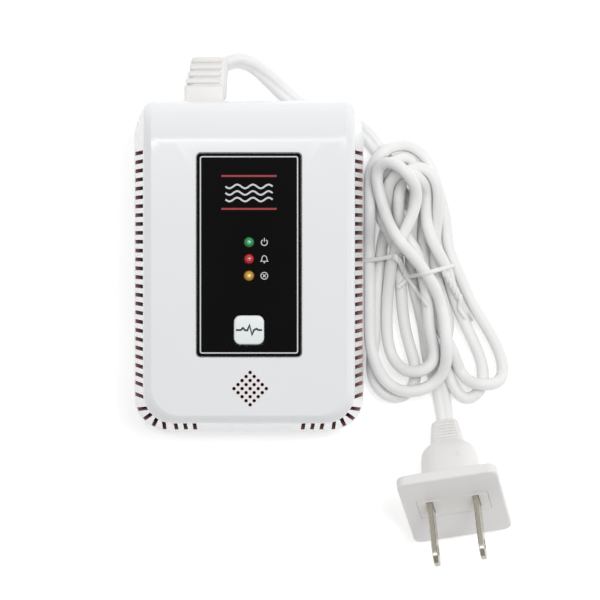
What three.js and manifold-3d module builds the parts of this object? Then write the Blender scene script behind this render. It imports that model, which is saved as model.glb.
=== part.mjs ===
// Mains carbon monoxide detector with a flat two-core lead, folded in a hank, and a two-blade plug.
// Millimetres. The origin is the centre of the flat back face. +Z points out of the front,
// +Y towards the end that the lead leaves from, and +X to the right as seen from the front.

import * as THREE from 'three';
import { mergeVertices } from 'three/addons/utils/BufferGeometryUtils.js';
import Module from 'manifold-3d';

const wasm = await Module();
wasm.setup();

// ---------------------------------------------------------------- driving dimensions

const GAP = 0.3;
const HALF_WIDTH = 31.5;
const HALF_HEIGHT = 45;
const DEPTH = 34;
const WALL = 2;
const CORNER_RADIUS = 9;

const REAR_DEPTH = 11;
const REAR_TOP = 38;
const REAR_CUT = { x: 22.5, y: 28 };

const COVER_Z = REAR_DEPTH + GAP;
const SHOULDER_Z = 30.5;
const DRAFT = 3;
const EDGE_ROUND = { inset: 2.3, height: DEPTH - SHOULDER_Z };
const ROLL_RADIUS = 11.5;
const TOP_CUT = { x: 26.6, y: 36.4, bulge: 1.6 };

const SLOT = { width: 1.05, first: 30.9, pitch: 2.41, count: 27, extra: -34.9, low: 13.6, high: 30.6 };
const CORNER_SLOT_ANGLES = [21.5, 43, 64, 86];
const BOTTOM_SLOTS = [14.7, 17.25, 19.8];

const PANEL = { width: 27.9, height: 54.4, y: 3.3, radius: 1, thickness: 0.5, recess: 0.95 };
const LEDS = [
  { name: 'led_power', y: 6.7, colour: 0x3fb568 },
  { name: 'led_alarm', y: 2.2, colour: 0xc02a30 },
  { name: 'led_fault', y: -2.3, colour: 0xc9a13c },
];
const LED_RADIUS = 1.5;
const BUTTON = { width: 8.1, height: 7.8, y: -16.8, radius: 1.8, top: 34.7, cap: 3.2 };
const GRILLE = { x: 0.3, y: -32.5, step: 1.08, radius: 0.4, half: 2 };

const CASE_SCREWS = [[-25.4, 15.2], [25.4, 15.2], [-25.4, -25.7], [25.4, -25.7]];
const BOARD_SCREWS = [[-18, 16.6], [18, 27.5], [-18, -36.5], [18, -36.5]];
const BOARD = { left: -21, right: 21, bottom: -40, top: 30.5, z: REAR_DEPTH + GAP, thickness: 1.6 };
const BOARD_TOP = BOARD.z + BOARD.thickness;
const PART_Z = BOARD_TOP + GAP;

const KEYHOLES = [22, -22];
const KEYHOLE = { radius: 3.6, slot: 1.9, length: 7 };

const CORD = { width: 5, thickness: 3.2 };
const CORD_LIE = CORD.thickness / 2 + 0.05;
const GLAND_X = -12.3;
const GLAND_Z = { low: 1.7, high: 10.1 };

const PLUG = { x: 54.6, y: -43.7, yaw: 4.3, tilt: 33.9, roll: 9.1, length: 26.8 };
const FLANGE = { width: 27.5, height: 33.8, thickness: 3.1, radius: 2.6 };
const BLADE = { width: 6.35, thickness: 1.5, reach: 17.5, spacing: 12.7, buried: 6, offset: 2.1 };
const INSERT = { width: 19.5, height: 10.5, thickness: 2.2 };

const HANK_TOP = 11;
const TIE = { wire: 0.9, width: 1.7 };
const TIES = [
  { name: 'twist_tie_left', x: 38.6, y: 2.6, span: 11.6, turn: 10, knot: 0.6 },
  { name: 'twist_tie_right', x: 50.4, y: -1.3, span: 11, turn: 14, knot: 3.2 },
];

// ---------------------------------------------------------------- materials

function material(colour, roughness, metalness = 0) {
  return new THREE.MeshStandardMaterial({ color: colour, roughness, metalness });
}

const WHITE_CASE = material(0xe8e9eb, 0.35);
const WHITE_CORD = material(0xe4e4e0, 0.45);
const WHITE_PLUG = material(0xefeeec, 0.45);
const BLACK_PANEL = material(0x141416, 0.1);
const BLACK_PLASTIC = material(0x1b1b1d, 0.5);
const STEEL = material(0xb9bab8, 0.3, 1);
const BLADE_METAL = material(0xa9a59a, 0.25, 1);
const BOARD_GREEN = material(0x1f5a34, 0.5);
const COPPER_RED = material(0x6a2018, 0.5);
const YELLOW_TAPE = material(0xd9b23a, 0.5);
const GLASS = material(0xd8e0e0, 0.08);
const WIRE_BROWN = material(0x6b3b1e, 0.5);
const WIRE_BLUE = material(0x2a4f9c, 0.5);
const TERMINAL_GREEN = material(0x2f8a4a, 0.45);
const CERAMIC = material(0xe9e4da, 0.6);
const TRIMMER_BLUE = material(0x2456a8, 0.4);

// ---------------------------------------------------------------- solids

function toSolid(geometry) {
  const bare = geometry.clone();
  bare.deleteAttribute('normal');
  bare.deleteAttribute('uv');
  const merged = mergeVertices(bare, 1e-4);
  return new wasm.Manifold(new wasm.Mesh({
    numProp: 3,
    vertProperties: Float32Array.from(merged.attributes.position.array),
    triVerts: Uint32Array.from(merged.index.array),
  }));
}

function toGeometry(solid) {
  const mesh = solid.getMesh();
  const geometry = new THREE.BufferGeometry();
  geometry.setAttribute('position', new THREE.BufferAttribute(mesh.vertProperties, 3));
  geometry.setIndex(new THREE.BufferAttribute(mesh.triVerts, 1));
  geometry.computeVertexNormals();
  return geometry;
}

function cut(geometry, tools) {
  return toGeometry(tools.reduce((solid, tool) => solid.subtract(toSolid(tool)), toSolid(geometry)));
}

function join(...geometries) {
  return toGeometry(geometries.map(toSolid).reduce((all, next) => all.add(next)));
}

function common(first, second) {
  return toGeometry(toSolid(first).intersect(toSolid(second)));
}

function box(x, y, z, width, height, depth) {
  return new THREE.BoxGeometry(width, height, depth).translate(x, y, z);
}

function cylinder(x, y, low, high, radius, sides = 10) {
  return new THREE.CylinderGeometry(radius, radius, high - low, sides)
    .rotateX(Math.PI / 2)
    .translate(x, y, (low + high) / 2);
}

function roundedRectangle(width, height, radius) {
  const x = width / 2;
  const y = height / 2;
  const shape = new THREE.Shape();
  shape.moveTo(x, -y + radius);
  shape.absarc(x - radius, y - radius, radius, 0, Math.PI / 2);
  shape.absarc(-x + radius, y - radius, radius, Math.PI / 2, Math.PI);
  shape.absarc(-x + radius, -y + radius, radius, Math.PI, Math.PI * 1.5);
  shape.absarc(x - radius, -y + radius, radius, Math.PI * 1.5, Math.PI * 2);
  return shape;
}

function plate(shape, low, high, segments = 3) {
  return new THREE.ExtrudeGeometry(shape, { depth: high - low, bevelEnabled: false, curveSegments: segments })
    .translate(0, 0, low);
}

function lathe(profile, segments = 14) {
  const points = profile.map(([radius, height]) => new THREE.Vector2(radius, height));
  return new THREE.LatheGeometry(points, segments).rotateX(Math.PI / 2);
}

// A shape drawn in Y and Z, extruded along X about the middle.
function alongX(shape, width, segments = 6) {
  const basis = new THREE.Matrix4().makeBasis(
    new THREE.Vector3(0, 1, 0), new THREE.Vector3(0, 0, 1), new THREE.Vector3(1, 0, 0));
  return new THREE.ExtrudeGeometry(shape, { depth: width, bevelEnabled: false, curveSegments: segments })
    .translate(0, 0, -width / 2)
    .applyMatrix4(basis);
}

function tube(points, section, steps) {
  const path = new THREE.CatmullRomCurve3(points.map((p) => new THREE.Vector3(...p)), false, 'centripetal');
  return new THREE.ExtrudeGeometry(section, { steps, extrudePath: path, bevelEnabled: false });
}

function ellipse(radiusX, radiusY, sides) {
  const points = Array.from({ length: sides }, (_, i) => {
    const angle = (2 * Math.PI * (i + 0.5)) / sides;
    return new THREE.Vector2(radiusX * Math.cos(angle), radiusY * Math.sin(angle));
  });
  return new THREE.Shape(points);
}

// ---------------------------------------------------------------- outlines of the case

// Round corners at the bottom and long convex cuts at the top.
function coverOutline(offset) {
  const x = HALF_WIDTH - offset;
  const y = HALF_HEIGHT - offset;
  const radius = CORNER_RADIUS - offset;
  const cutX = TOP_CUT.x - offset * 0.7;
  const cutY = TOP_CUT.y - offset * 0.5;
  const shape = new THREE.Shape();
  shape.moveTo(-x, -y + radius);
  shape.absarc(-x + radius, -y + radius, radius, Math.PI, Math.PI * 1.5);
  shape.absarc(x - radius, -y + radius, radius, Math.PI * 1.5, Math.PI * 2);
  shape.lineTo(x, cutY);
  shape.quadraticCurveTo((x + cutX) / 2 + TOP_CUT.bulge, (y + cutY) / 2 + TOP_CUT.bulge / 2, cutX, y);
  shape.lineTo(-cutX, y);
  shape.quadraticCurveTo(-(x + cutX) / 2 - TOP_CUT.bulge, (y + cutY) / 2 + TOP_CUT.bulge / 2, -x, cutY);
  return shape;
}

// The rear tray is shorter and has its top corners cut back, so the lead passes under the cover.
function rearOutline(offset) {
  const x = HALF_WIDTH - offset;
  const radius = CORNER_RADIUS - offset;
  const shape = new THREE.Shape();
  shape.moveTo(-x, -HALF_HEIGHT + offset + radius);
  shape.absarc(-x + radius, -HALF_HEIGHT + offset + radius, radius, Math.PI, Math.PI * 1.5);
  shape.absarc(x - radius, -HALF_HEIGHT + offset + radius, radius, Math.PI * 1.5, Math.PI * 2);
  shape.lineTo(x, REAR_CUT.y - offset * 0.4);
  shape.lineTo(REAR_CUT.x - offset * 0.5, REAR_TOP - offset);
  shape.lineTo(-REAR_CUT.x + offset * 0.5, REAR_TOP - offset);
  shape.lineTo(-x, REAR_CUT.y - offset * 0.4);
  return shape;
}

// Extrudes an outline through levels of height and inset. The sides and the lower end draw in;
// the end at +Y and its corner cuts keep their place.
function tapered(shape, levels) {
  const geometry = new THREE.ExtrudeGeometry(shape, {
    depth: levels.length - 1, steps: levels.length - 1, bevelEnabled: false, curveSegments: 5,
  });
  geometry.computeBoundingBox();
  const side = geometry.boundingBox.max.x;
  const position = geometry.attributes.position;
  for (let i = 0; i < position.count; i += 1) {
    const level = levels[Math.round(position.getZ(i))];
    const limit = side - level.inset;
    const x = position.getX(i);
    const y = position.getY(i);
    if (y < 0) {
      position.setXYZ(i, (x * limit) / side, y * (1 - level.inset / HALF_HEIGHT), level.z);
    } else {
      position.setXYZ(i, THREE.MathUtils.clamp(x, -limit, limit), y, level.z);
    }
  }
  return geometry;
}

function wallInset(z) {
  return (DRAFT * (z - COVER_Z)) / (SHOULDER_Z - COVER_Z);
}

// Side view of the cover: flat front, then a quarter roll down to the top end.
function rollProfile(offset) {
  const top = HALF_HEIGHT - offset;
  const front = DEPTH - offset;
  const radius = ROLL_RADIUS - offset;
  const shape = new THREE.Shape();
  shape.moveTo(-HALF_HEIGHT - 5, 0);
  shape.lineTo(top, 0);
  shape.lineTo(top, front - radius);
  shape.absarc(top - radius, front - radius, radius, 0, Math.PI / 2);
  shape.lineTo(-HALF_HEIGHT - 5, front);
  return shape;
}

// ---------------------------------------------------------------- front cover

function coverBody() {
  const rounded = [0, 45, 90].map((degrees) => {
    const angle = THREE.MathUtils.degToRad(degrees);
    return {
      z: SHOULDER_Z + EDGE_ROUND.height * Math.sin(angle),
      inset: DRAFT + EDGE_ROUND.inset * (1 - Math.cos(angle)),
    };
  });
  const levels = [{ z: COVER_Z, inset: 0 }, ...rounded];
  return common(tapered(coverOutline(0), levels), alongX(rollProfile(0), 80));
}

function coverHollow() {
  const low = COVER_Z + WALL;
  const high = DEPTH - WALL;
  const levels = [
    { z: low, inset: wallInset(low) },
    { z: SHOULDER_Z - 1, inset: wallInset(SHOULDER_Z - 1) },
    { z: high, inset: DRAFT + 1.4 },
  ];
  return common(tapered(coverOutline(WALL), levels), alongX(rollProfile(WALL), 80));
}

function ventSlots() {
  const depth = SLOT.high - SLOT.low;
  const middle = (SLOT.high + SLOT.low) / 2;
  const rows = Array.from({ length: SLOT.count }, (_, i) => SLOT.first - i * SLOT.pitch);
  const tools = [];
  for (const side of [-1, 1]) {
    for (const y of [...rows, SLOT.extra]) {
      tools.push(box(side * 30, y, middle, 9, SLOT.width, depth));
    }
    for (const degrees of CORNER_SLOT_ANGLES) {
      const angle = -THREE.MathUtils.degToRad(degrees);
      const slot = new THREE.BoxGeometry(8, SLOT.width, depth).translate(7, 0, middle);
      slot.rotateZ(side > 0 ? angle : Math.PI - angle);
      tools.push(slot.translate(side * (HALF_WIDTH - CORNER_RADIUS), -HALF_HEIGHT + CORNER_RADIUS, 0));
    }
    for (const x of BOTTOM_SLOTS) {
      tools.push(box(side * x, -43, middle, SLOT.width, 7, depth));
    }
  }
  return tools;
}

function grilleHoles() {
  const tools = [];
  for (let i = -GRILLE.half; i <= GRILLE.half; i += 1) {
    for (let j = -GRILLE.half; j <= GRILLE.half; j += 1) {
      const x = GRILLE.x + (i - j) * GRILLE.step;
      const y = GRILLE.y + (i + j) * GRILLE.step;
      tools.push(cylinder(x, y, DEPTH - 2 * WALL, DEPTH + 1, GRILLE.radius, 6));
    }
  }
  return tools;
}

function frontCover() {
  const panelRecess = plate(
    roundedRectangle(PANEL.width + 2 * GAP, PANEL.height + 2 * GAP, PANEL.radius + GAP),
    DEPTH - PANEL.recess, DEPTH + 1).translate(0, PANEL.y, 0);
  const buttonHole = plate(
    roundedRectangle(BUTTON.width + 2 * GAP, BUTTON.height + 2 * GAP, BUTTON.radius + GAP),
    DEPTH - 2 * WALL, DEPTH + 1).translate(0, BUTTON.y, 0);
  const ledHoles = LEDS.map((led) => cylinder(0, led.y, DEPTH - 2 * WALL, DEPTH + 1, LED_RADIUS + GAP, 12));
  const tray = plate(rearOutline(WALL), COVER_Z - 1, COVER_Z + WALL + 0.5, 5);
  const shell = cut(coverBody(), [coverHollow(), tray]);
  const bosses = CASE_SCREWS.map(([x, y]) => cylinder(x, y, COVER_Z + GAP, DEPTH - WALL + 0.3, 3));
  const pilots = CASE_SCREWS.map(([x, y]) => cylinder(x, y, COVER_Z - 1, COVER_Z + 11, 1.6, 8));
  const bored = cut(join(shell, ...bosses), pilots);
  return cut(bored, [panelRecess, buttonHole, ...ledHoles, ...ventSlots(), ...grilleHoles()]);
}

// ---------------------------------------------------------------- rear housing

function keyhole(y) {
  const round = cylinder(0, y, -1, WALL + 1, KEYHOLE.radius, 16);
  const slot = box(0, y + KEYHOLE.length / 2, WALL / 2, 2 * KEYHOLE.slot, KEYHOLE.length, WALL + 2);
  const end = cylinder(0, y + KEYHOLE.length, -1, WALL + 1, KEYHOLE.slot, 12);
  return join(round, slot, end);
}

function glandOpening() {
  return box(GLAND_X, REAR_TOP - 1, (GLAND_Z.low + GLAND_Z.high) / 2, 8.2, 6, 6.2);
}

function rearHousing() {
  const hollow = plate(rearOutline(WALL), WALL, REAR_DEPTH + 1, 5);
  const tray = cut(plate(rearOutline(0), 0, REAR_DEPTH, 5), [hollow]);
  const casePosts = CASE_SCREWS.map(([x, y]) => cylinder(x, y, 0.5, REAR_DEPTH, 3.6));
  const boardPosts = BOARD_SCREWS.map(([x, y]) => cylinder(x, y, 1, REAR_DEPTH, 2.8));
  const tools = [
    ...CASE_SCREWS.map(([x, y]) => cylinder(x, y, -1, 7.4, 2.9)),
    ...CASE_SCREWS.map(([x, y]) => cylinder(x, y, 7, REAR_DEPTH + 1, 1.8, 8)),
    ...BOARD_SCREWS.map(([x, y]) => cylinder(x, y, 6, REAR_DEPTH + 1, 1.3, 8)),
    ...KEYHOLES.map(keyhole),
    glandOpening(),
  ];
  for (const side of [-1, 1]) {
    for (let row = -2; row <= 2; row += 1) {
      tools.push(box(side * 14, row * 3.2 - 5, WALL / 2, 12, 1.2, WALL + 2));
    }
  }
  return cut(join(tray, ...casePosts, ...boardPosts), tools);
}

// ---------------------------------------------------------------- panel, lamps and button

function labelPanel() {
  const panel = plate(roundedRectangle(PANEL.width, PANEL.height, PANEL.radius), 0, PANEL.thickness)
    .translate(0, PANEL.y, DEPTH - PANEL.recess + GAP + 0.3);
  const window = plate(
    roundedRectangle(BUTTON.width + 2 * GAP, BUTTON.height + 2 * GAP, BUTTON.radius + GAP),
    DEPTH - 2, DEPTH + 2).translate(0, BUTTON.y, 0);
  const lampHoles = LEDS.map((lamp) => cylinder(0, lamp.y, DEPTH - 2, DEPTH + 2, LED_RADIUS + GAP, 12));
  return cut(panel, [window, ...lampHoles]);
}

// A 3 mm lamp: domed lens on a flange, with its two legs down to the board.
function led(y) {
  const flangeZ = DEPTH - 2 * WALL - 1.2;
  const lens = lathe([[0, flangeZ], [1.9, flangeZ], [1.9, flangeZ + 0.9], [LED_RADIUS, flangeZ + 0.9],
    [LED_RADIUS, DEPTH - 0.7], [1.1, DEPTH + 0.2], [0, DEPTH + 0.55]], 12);
  const legZ = (PART_Z + flangeZ) / 2 + 0.1;
  const legs = [-1.27, 1.27].map((x) => box(x, 0, legZ, 0.6, 0.6, flangeZ - PART_Z + 0.2));
  return join(lens, ...legs).translate(0, y, 0);
}

function testButton() {
  const underside = BUTTON.top - BUTTON.cap;
  const cap = new THREE.ExtrudeGeometry(
    roundedRectangle(BUTTON.width - 0.8, BUTTON.height - 0.8, BUTTON.radius - 0.4),
    { depth: BUTTON.cap - 0.8, bevelThickness: 0.4, bevelSize: 0.4, bevelSegments: 1, curveSegments: 3 })
    .translate(0, 0, underside + 0.4);
  const stem = cylinder(0, 0, 23.6, underside + 0.5, 1.8);
  return join(cap, stem).translate(0, BUTTON.y, 0);
}

function tactSwitch() {
  const housing = box(0, 0, PART_Z + 1.9, 6, 6, 3.8);
  const collar = cylinder(0, 0, PART_Z + 3.5, PART_Z + 4.6, 2.6);
  return cut(join(housing, collar), [cylinder(0, 0, PART_Z + 1.6, PART_Z + 6, 2)])
    .translate(0, BUTTON.y, 0);
}

function switchPlunger() {
  return cylinder(0, BUTTON.y, PART_Z + 2.9, 23.6 - GAP, 1.7);
}

// ---------------------------------------------------------------- board and its components

function mainBoard() {
  const width = BOARD.right - BOARD.left;
  const height = BOARD.top - BOARD.bottom;
  const board = plate(roundedRectangle(width, height, 3), BOARD.z, BOARD_TOP)
    .translate((BOARD.left + BOARD.right) / 2, (BOARD.bottom + BOARD.top) / 2, 0);
  return cut(board, BOARD_SCREWS.map(([x, y]) => cylinder(x, y, BOARD.z - 1, BOARD_TOP + 1, 1.35, 8)));
}

const TRANSFORMER = { x: 4.2, y: 19.4, width: 27, stack: 11, height: 17.2, leg: 4.5, window: 4.6, yoke: 2.4 };

function transformerCore() {
  const t = TRANSFORMER;
  const windows = [-1, 1].map((side) => (
    box(side * (t.leg + t.window / 2), 0, 0, t.window, t.stack + 2, t.height - 2 * t.yoke)));
  return cut(box(0, 0, 0, t.width, t.stack, t.height), windows)
    .translate(t.x, t.y, PART_Z + t.height / 2);
}

function transformerWinding() {
  const t = TRANSFORMER;
  const outer = roundedRectangle(2 * (t.leg + t.window - GAP), t.stack + 9, 2);
  const height = t.height - 2 * t.yoke - 2 * GAP;
  const core = box(0, 0, height / 2, 2 * (t.leg + GAP), t.stack + 2 * GAP, height + 2);
  return cut(plate(outer, 0, height), [core])
    .translate(t.x, t.y, PART_Z + t.yoke + GAP);
}

const FUSE = { x: -16.4, y: 2.4, z: PART_Z + 4, radius: 2.5, length: 20 };

function fuse() {
  return lathe([[0, 0], [FUSE.radius, 0], [FUSE.radius, 5], [2.25, 5], [2.25, 15], [FUSE.radius, 15],
    [FUSE.radius, FUSE.length], [0, FUSE.length]], 12)
    .rotateX(Math.PI / 2)
    .translate(FUSE.x, FUSE.y + FUSE.length / 2, FUSE.z);
}

function fuseClip(side) {
  const clip = box(FUSE.x, FUSE.y + side * 7.6, PART_Z + 2.9, 6.4, 4.2, 5.8);
  const bore = new THREE.CylinderGeometry(FUSE.radius + GAP, FUSE.radius + GAP, 8, 16)
    .translate(FUSE.x, FUSE.y + side * 7.6, FUSE.z);
  const mouth = box(FUSE.x, FUSE.y + side * 7.6, FUSE.z + 3, 4.4, 8, 4);
  return cut(clip, [bore, mouth]);
}

function capacitor(radius, height) {
  return lathe([[0, 0], [radius, 0], [radius, 1.4], [radius - 0.35, 1.9], [radius, 2.4],
    [radius, height - 0.4], [radius - 0.4, height], [0, height]], 16);
}

function terminalBlock() {
  const block = box(0, 0, 5, 10.2, 7.6, 10);
  const holes = [-2.54, 2.54].flatMap((x) => [
    box(x, 4, 4.6, 3, 5, 3.2),
    cylinder(x, 0, 7.6, 11, 1.6, 12),
  ]);
  return cut(block, holes).translate(GLAND_X - 2.4, 24.4, PART_Z);
}

function mainsWire(side) {
  const x = GLAND_X + side * 1.3;
  const endX = GLAND_X - 2.4 + side * 2.54;
  return tube([[x, 33.4, 6], [x, 32.3, 6.5], [x, 31.9, 9.5], [endX, 31.9, 14.5],
    [endX, 30.9, 17.2], [endX, 28.6, PART_Z + 4.6]], ellipse(0.85, 0.85, 6), 10);
}

function voltageRegulator() {
  const packageBody = box(0, 0, 7.5, 10, 4.4, 9);
  const tab = box(0, 1.6, 14.6, 10, 1.2, 5.6);
  const pins = [-2.54, 0, 2.54].map((x) => box(x, 0, 1.6, 0.8, 0.6, 3.2));
  return cut(join(packageBody, tab, ...pins), [
    new THREE.CylinderGeometry(1.8, 1.8, 4, 16).translate(0, 1.6, 14.9),
  ]).translate(12.4, -5.6, PART_Z);
}

function microcontroller() {
  const body = box(0, 0, 2.4, 6.2, 12.8, 3.2);
  const pins = [];
  for (let row = 0; row < 5; row += 1) {
    for (const side of [-1, 1]) {
      pins.push(box(side * 3.5, (row - 2) * 2.54, 1.4, 0.9, 0.6, 2.8));
    }
  }
  return join(body, ...pins).translate(-14.8, -15, PART_Z);
}

const SENSOR = { x: 11.9, y: -22, base: 8.3, cap: 6.2 };

function sensorBase() {
  return lathe([[0, 0], [SENSOR.base, 0], [SENSOR.base, 4.6], [SENSOR.cap + 0.3, 4.6],
    [SENSOR.cap + 0.3, 4.1], [0, 4.1]], 18).translate(SENSOR.x, SENSOR.y, PART_Z);
}

// A perforated steel cup, open underneath.
function sensorCap() {
  const cap = lathe([[SENSOR.cap - 0.7, 0], [SENSOR.cap, 0], [SENSOR.cap, 7.6], [SENSOR.cap - 1, 8.6],
    [0, 8.6], [0, 7.9], [SENSOR.cap - 1.3, 7.9], [SENSOR.cap - 0.7, 7.3], [SENSOR.cap - 0.7, 0]], 18);
  return cap.translate(SENSOR.x, SENSOR.y, PART_Z + 4.1 + GAP);
}

function sensorElement() {
  const bead = new THREE.CylinderGeometry(1, 1, 5, 12).translate(0, 0, 3);
  const posts = [-2, 2].map((y) => box(0, y, 1.4, 0.8, 0.8, 2.8));
  return join(bead, ...posts).translate(SENSOR.x, SENSOR.y, PART_Z + 4.1 + GAP);
}

function buzzer() {
  return cut(lathe([[0, 0], [6, 0], [6, 9], [5.5, 9.5], [0, 9.5]], 18), [cylinder(0, 0, 7, 11, 1.1, 8)])
    .translate(GRILLE.x, GRILLE.y, PART_Z);
}

function trimmer() {
  return cut(box(0, 0, 2.5, 6.6, 6.6, 5), [cylinder(0, 0, 4.2, 6, 1.7)]).translate(-13.6, -28.6, PART_Z);
}

// ---------------------------------------------------------------- screws

function panScrew(headRadius, headHeight, shankRadius, shankLength) {
  const screw = lathe([[0, 0], [headRadius, 0], [headRadius, headHeight * 0.5],
    [headRadius * 0.6, headHeight], [0, headHeight]], 12);
  const slotLength = headRadius * 1.1;
  const slots = [box(0, 0, headHeight, slotLength, 0.5, 1), box(0, 0, headHeight, 0.5, slotLength, 1)];
  return cut(join(screw, cylinder(0, 0, -shankLength, 0.1, shankRadius, 6)), slots);
}

function caseScrew(x, y) {
  return panScrew(2.5, 1.8, 1.3, 13.5).rotateX(Math.PI).translate(x, y, 7.4 - GAP);
}

function boardScrew(x, y) {
  return panScrew(2.3, 1.5, 1, 6).translate(x, y, PART_Z);
}

// ---------------------------------------------------------------- strain relief and lead

// Moulded grip that leans over towards the lead, with a neck and flange through the rear wall.
function cordGland() {
  const outline = new THREE.Shape([
    [-17.8, REAR_TOP + GAP], [-6.9, REAR_TOP + GAP], [-6.6, 46], [-6.1, 53.1], [-8, 58.1], [-15.2, 57.6],
    [-16.8, 49],
  ].map(([x, y]) => new THREE.Vector2(x, y)));
  const height = GLAND_Z.high - GLAND_Z.low;
  const grip = new THREE.ExtrudeGeometry(outline, {
    depth: height - 1.2, bevelThickness: 0.6, bevelSize: 0.6, bevelOffset: -0.6, bevelSegments: 1,
  }).translate(0, 0, GLAND_Z.low + 0.6);
  const grooves = [49.8, 51.9, 54, 55.7].flatMap((y) => [GLAND_Z.low, GLAND_Z.high].map((z) => (
    box(-11.4, y, z, 8, 0.9, 1.6))));
  const middle = (GLAND_Z.low + GLAND_Z.high) / 2;
  const neck = box(GLAND_X, 36.6, middle, 7.4, 5.6, 5.4);
  const flange = box(GLAND_X, 34.7, middle, 10.4, 1.8, 7.4);
  return join(cut(grip, grooves), neck, flange);
}

const FLAT_CORD = ellipse(CORD.thickness / 2, CORD.width / 2, 8);

const LEAD_ROUTE = [
  [-6.6, 55.9, 5.9], [-3.6, 57, 5.7], [0.4, 56.2, 4.9], [5, 52.8, 3.4], [9.9, 48.2, 2.2],
  [14.8, 44.1, CORD_LIE], [19.6, 42, CORD_LIE], [24.6, 41.1, CORD_LIE], [29.2, 39.4, CORD_LIE],
  [32.6, 36.7, CORD_LIE], [35, 33.8, CORD_LIE],
];

const HANK_OUTLINE = [
  [32, 22], [33.2, 31.5], [37.3, 35.6], [43, 35], [48.8, 31], [52.8, 23], [54.8, 13], [58, 3], [63, -6.6],
  [68.4, -17], [72.2, -27], [71.4, -34], [66, -38.6], [60.5, -38.8], [56.4, -35], [50.6, -34.4], [46, -37.6],
  [39.5, -39.6], [35, -34], [32.2, -24],
];

function cordHank() {
  const outline = new THREE.Shape(HANK_OUTLINE.map(([x, y]) => new THREE.Vector2(x, y)));
  const height = HANK_TOP - 1.6;
  const hank = new THREE.ExtrudeGeometry(outline, {
    depth: height, bevelThickness: 0.8, bevelSize: 0.8, bevelOffset: -0.8, bevelSegments: 1,
  }).translate(0, 0, 0.8);
  return cut(hank, TIES.map((tie) => tieBand(tie, GAP)));
}

// A flat band standing across one bundle of turns, with clearance when it is used as a cutter.
function tieBand(tie, clearance) {
  const outer = roundedRectangle(tie.span + 2 * clearance, HANK_TOP + GAP + TIE.wire + 2 * clearance, 2);
  const inner = roundedRectangle(
    tie.span - 2 * TIE.wire - 2 * clearance, HANK_TOP + GAP - TIE.wire - 2 * clearance, 1.2);
  outer.holes.push(inner);
  const width = TIE.width + 2 * clearance;
  return new THREE.ExtrudeGeometry(outer, { depth: width, bevelEnabled: false, curveSegments: 2 })
    .translate(0, (HANK_TOP + GAP + TIE.wire) / 2, -width / 2)
    .rotateX(Math.PI / 2)
    .rotateZ(THREE.MathUtils.degToRad(tie.turn))
    .translate(tie.x, tie.y, 0);
}

// The band and its twisted ends, which lie on top of the turns.
function twistTie(tie) {
  const high = HANK_TOP + GAP + TIE.wire / 2;
  const tail = tube([
    [tie.knot, 0.3, high], [tie.knot + 0.9, -1.6, high + 0.2], [tie.knot + 2.4, -4.4, high + 0.1],
    [tie.knot + 4, -7.2, high],
  ], ellipse(0.45, 0.8, 6), 4)
    .rotateZ(THREE.MathUtils.degToRad(tie.turn))
    .translate(tie.x, tie.y, 0);
  return join(tieBand(tie, 0), tail);
}

// ---------------------------------------------------------------- plug

// The plug is drawn along its own +Z, from the lead's entry to the face, with +Y its upper side.
function plugBody() {
  const grip = [[0, 0], [3.7, 0], [3.9, 0.5]];
  for (let ring = 0; ring < 4; ring += 1) {
    const z = 1.2 + ring * 1.4;
    const radius = 4.1 + ring * 0.35;
    grip.push([radius, z], [radius - 0.6, z + 0.5], [radius + 0.2, z + 1]);
  }
  const back = PLUG.length - 2;
  const dome = [[5.6, 7], [7.2, 8], [8, 9.6], [8.3, 12.5], [8.7, 19], [9.4, back], [0, back]];
  const moulding = lathe([...grip, ...dome], 16).scale(1, 0.7, 1);
  const flange = new THREE.ExtrudeGeometry(
    roundedRectangle(FLANGE.width - 1, FLANGE.height - 1, FLANGE.radius - 0.5),
    { depth: FLANGE.thickness - 1, bevelThickness: 0.5, bevelSize: 0.5, bevelSegments: 1, curveSegments: 3 })
    .translate(0, 0, PLUG.length - FLANGE.thickness + 0.5);
  const pocket = box(0, BLADE.offset, PLUG.length - INSERT.thickness / 2 + 0.5 - GAP / 2,
    INSERT.width + 2 * GAP, INSERT.height + 2 * GAP, INSERT.thickness + 1 + GAP);
  const socketZ = PLUG.length - BLADE.buried / 2;
  const sockets = [-1, 1].map((side) => box(side * BLADE.spacing / 2, BLADE.offset, socketZ,
    BLADE.thickness + 2 * GAP, BLADE.width + 2 * GAP, BLADE.buried + 2 * GAP));
  return cut(join(moulding, flange), [pocket, ...sockets]);
}

function plugInsert() {
  const insert = box(0, BLADE.offset, PLUG.length - INSERT.thickness / 2,
    INSERT.width, INSERT.height, INSERT.thickness);
  return cut(insert, [-1, 1].map((side) => box(side * BLADE.spacing / 2, BLADE.offset, PLUG.length,
    BLADE.thickness + 2 * GAP, BLADE.width + 2 * GAP, 8)));
}

function plugBlade(side) {
  const half = BLADE.width / 2;
  const outline = new THREE.Shape([
    [-half, -BLADE.buried], [half, -BLADE.buried], [half, BLADE.reach - 2.4], [half - 1.8, BLADE.reach],
    [-half + 1.8, BLADE.reach], [-half, BLADE.reach - 2.4],
  ].map(([x, y]) => new THREE.Vector2(x, y)));
  outline.holes.push(new THREE.Path().absarc(0, BLADE.reach - 4.2, 1.5, 0, Math.PI * 2, true));
  const basis = new THREE.Matrix4().makeBasis(
    new THREE.Vector3(0, 1, 0), new THREE.Vector3(0, 0, 1), new THREE.Vector3(1, 0, 0));
  return new THREE.ExtrudeGeometry(outline, { depth: BLADE.thickness, bevelEnabled: false, curveSegments: 8 })
    .translate(0, 0, -BLADE.thickness / 2)
    .applyMatrix4(basis)
    .translate(side * BLADE.spacing / 2, BLADE.offset, PLUG.length);
}

// ---------------------------------------------------------------- assembly

const detector = new THREE.Group();

function add(parent, name, geometry, look) {
  const mesh = new THREE.Mesh(geometry, look);
  mesh.name = name;
  parent.add(mesh);
  return mesh;
}

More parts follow.
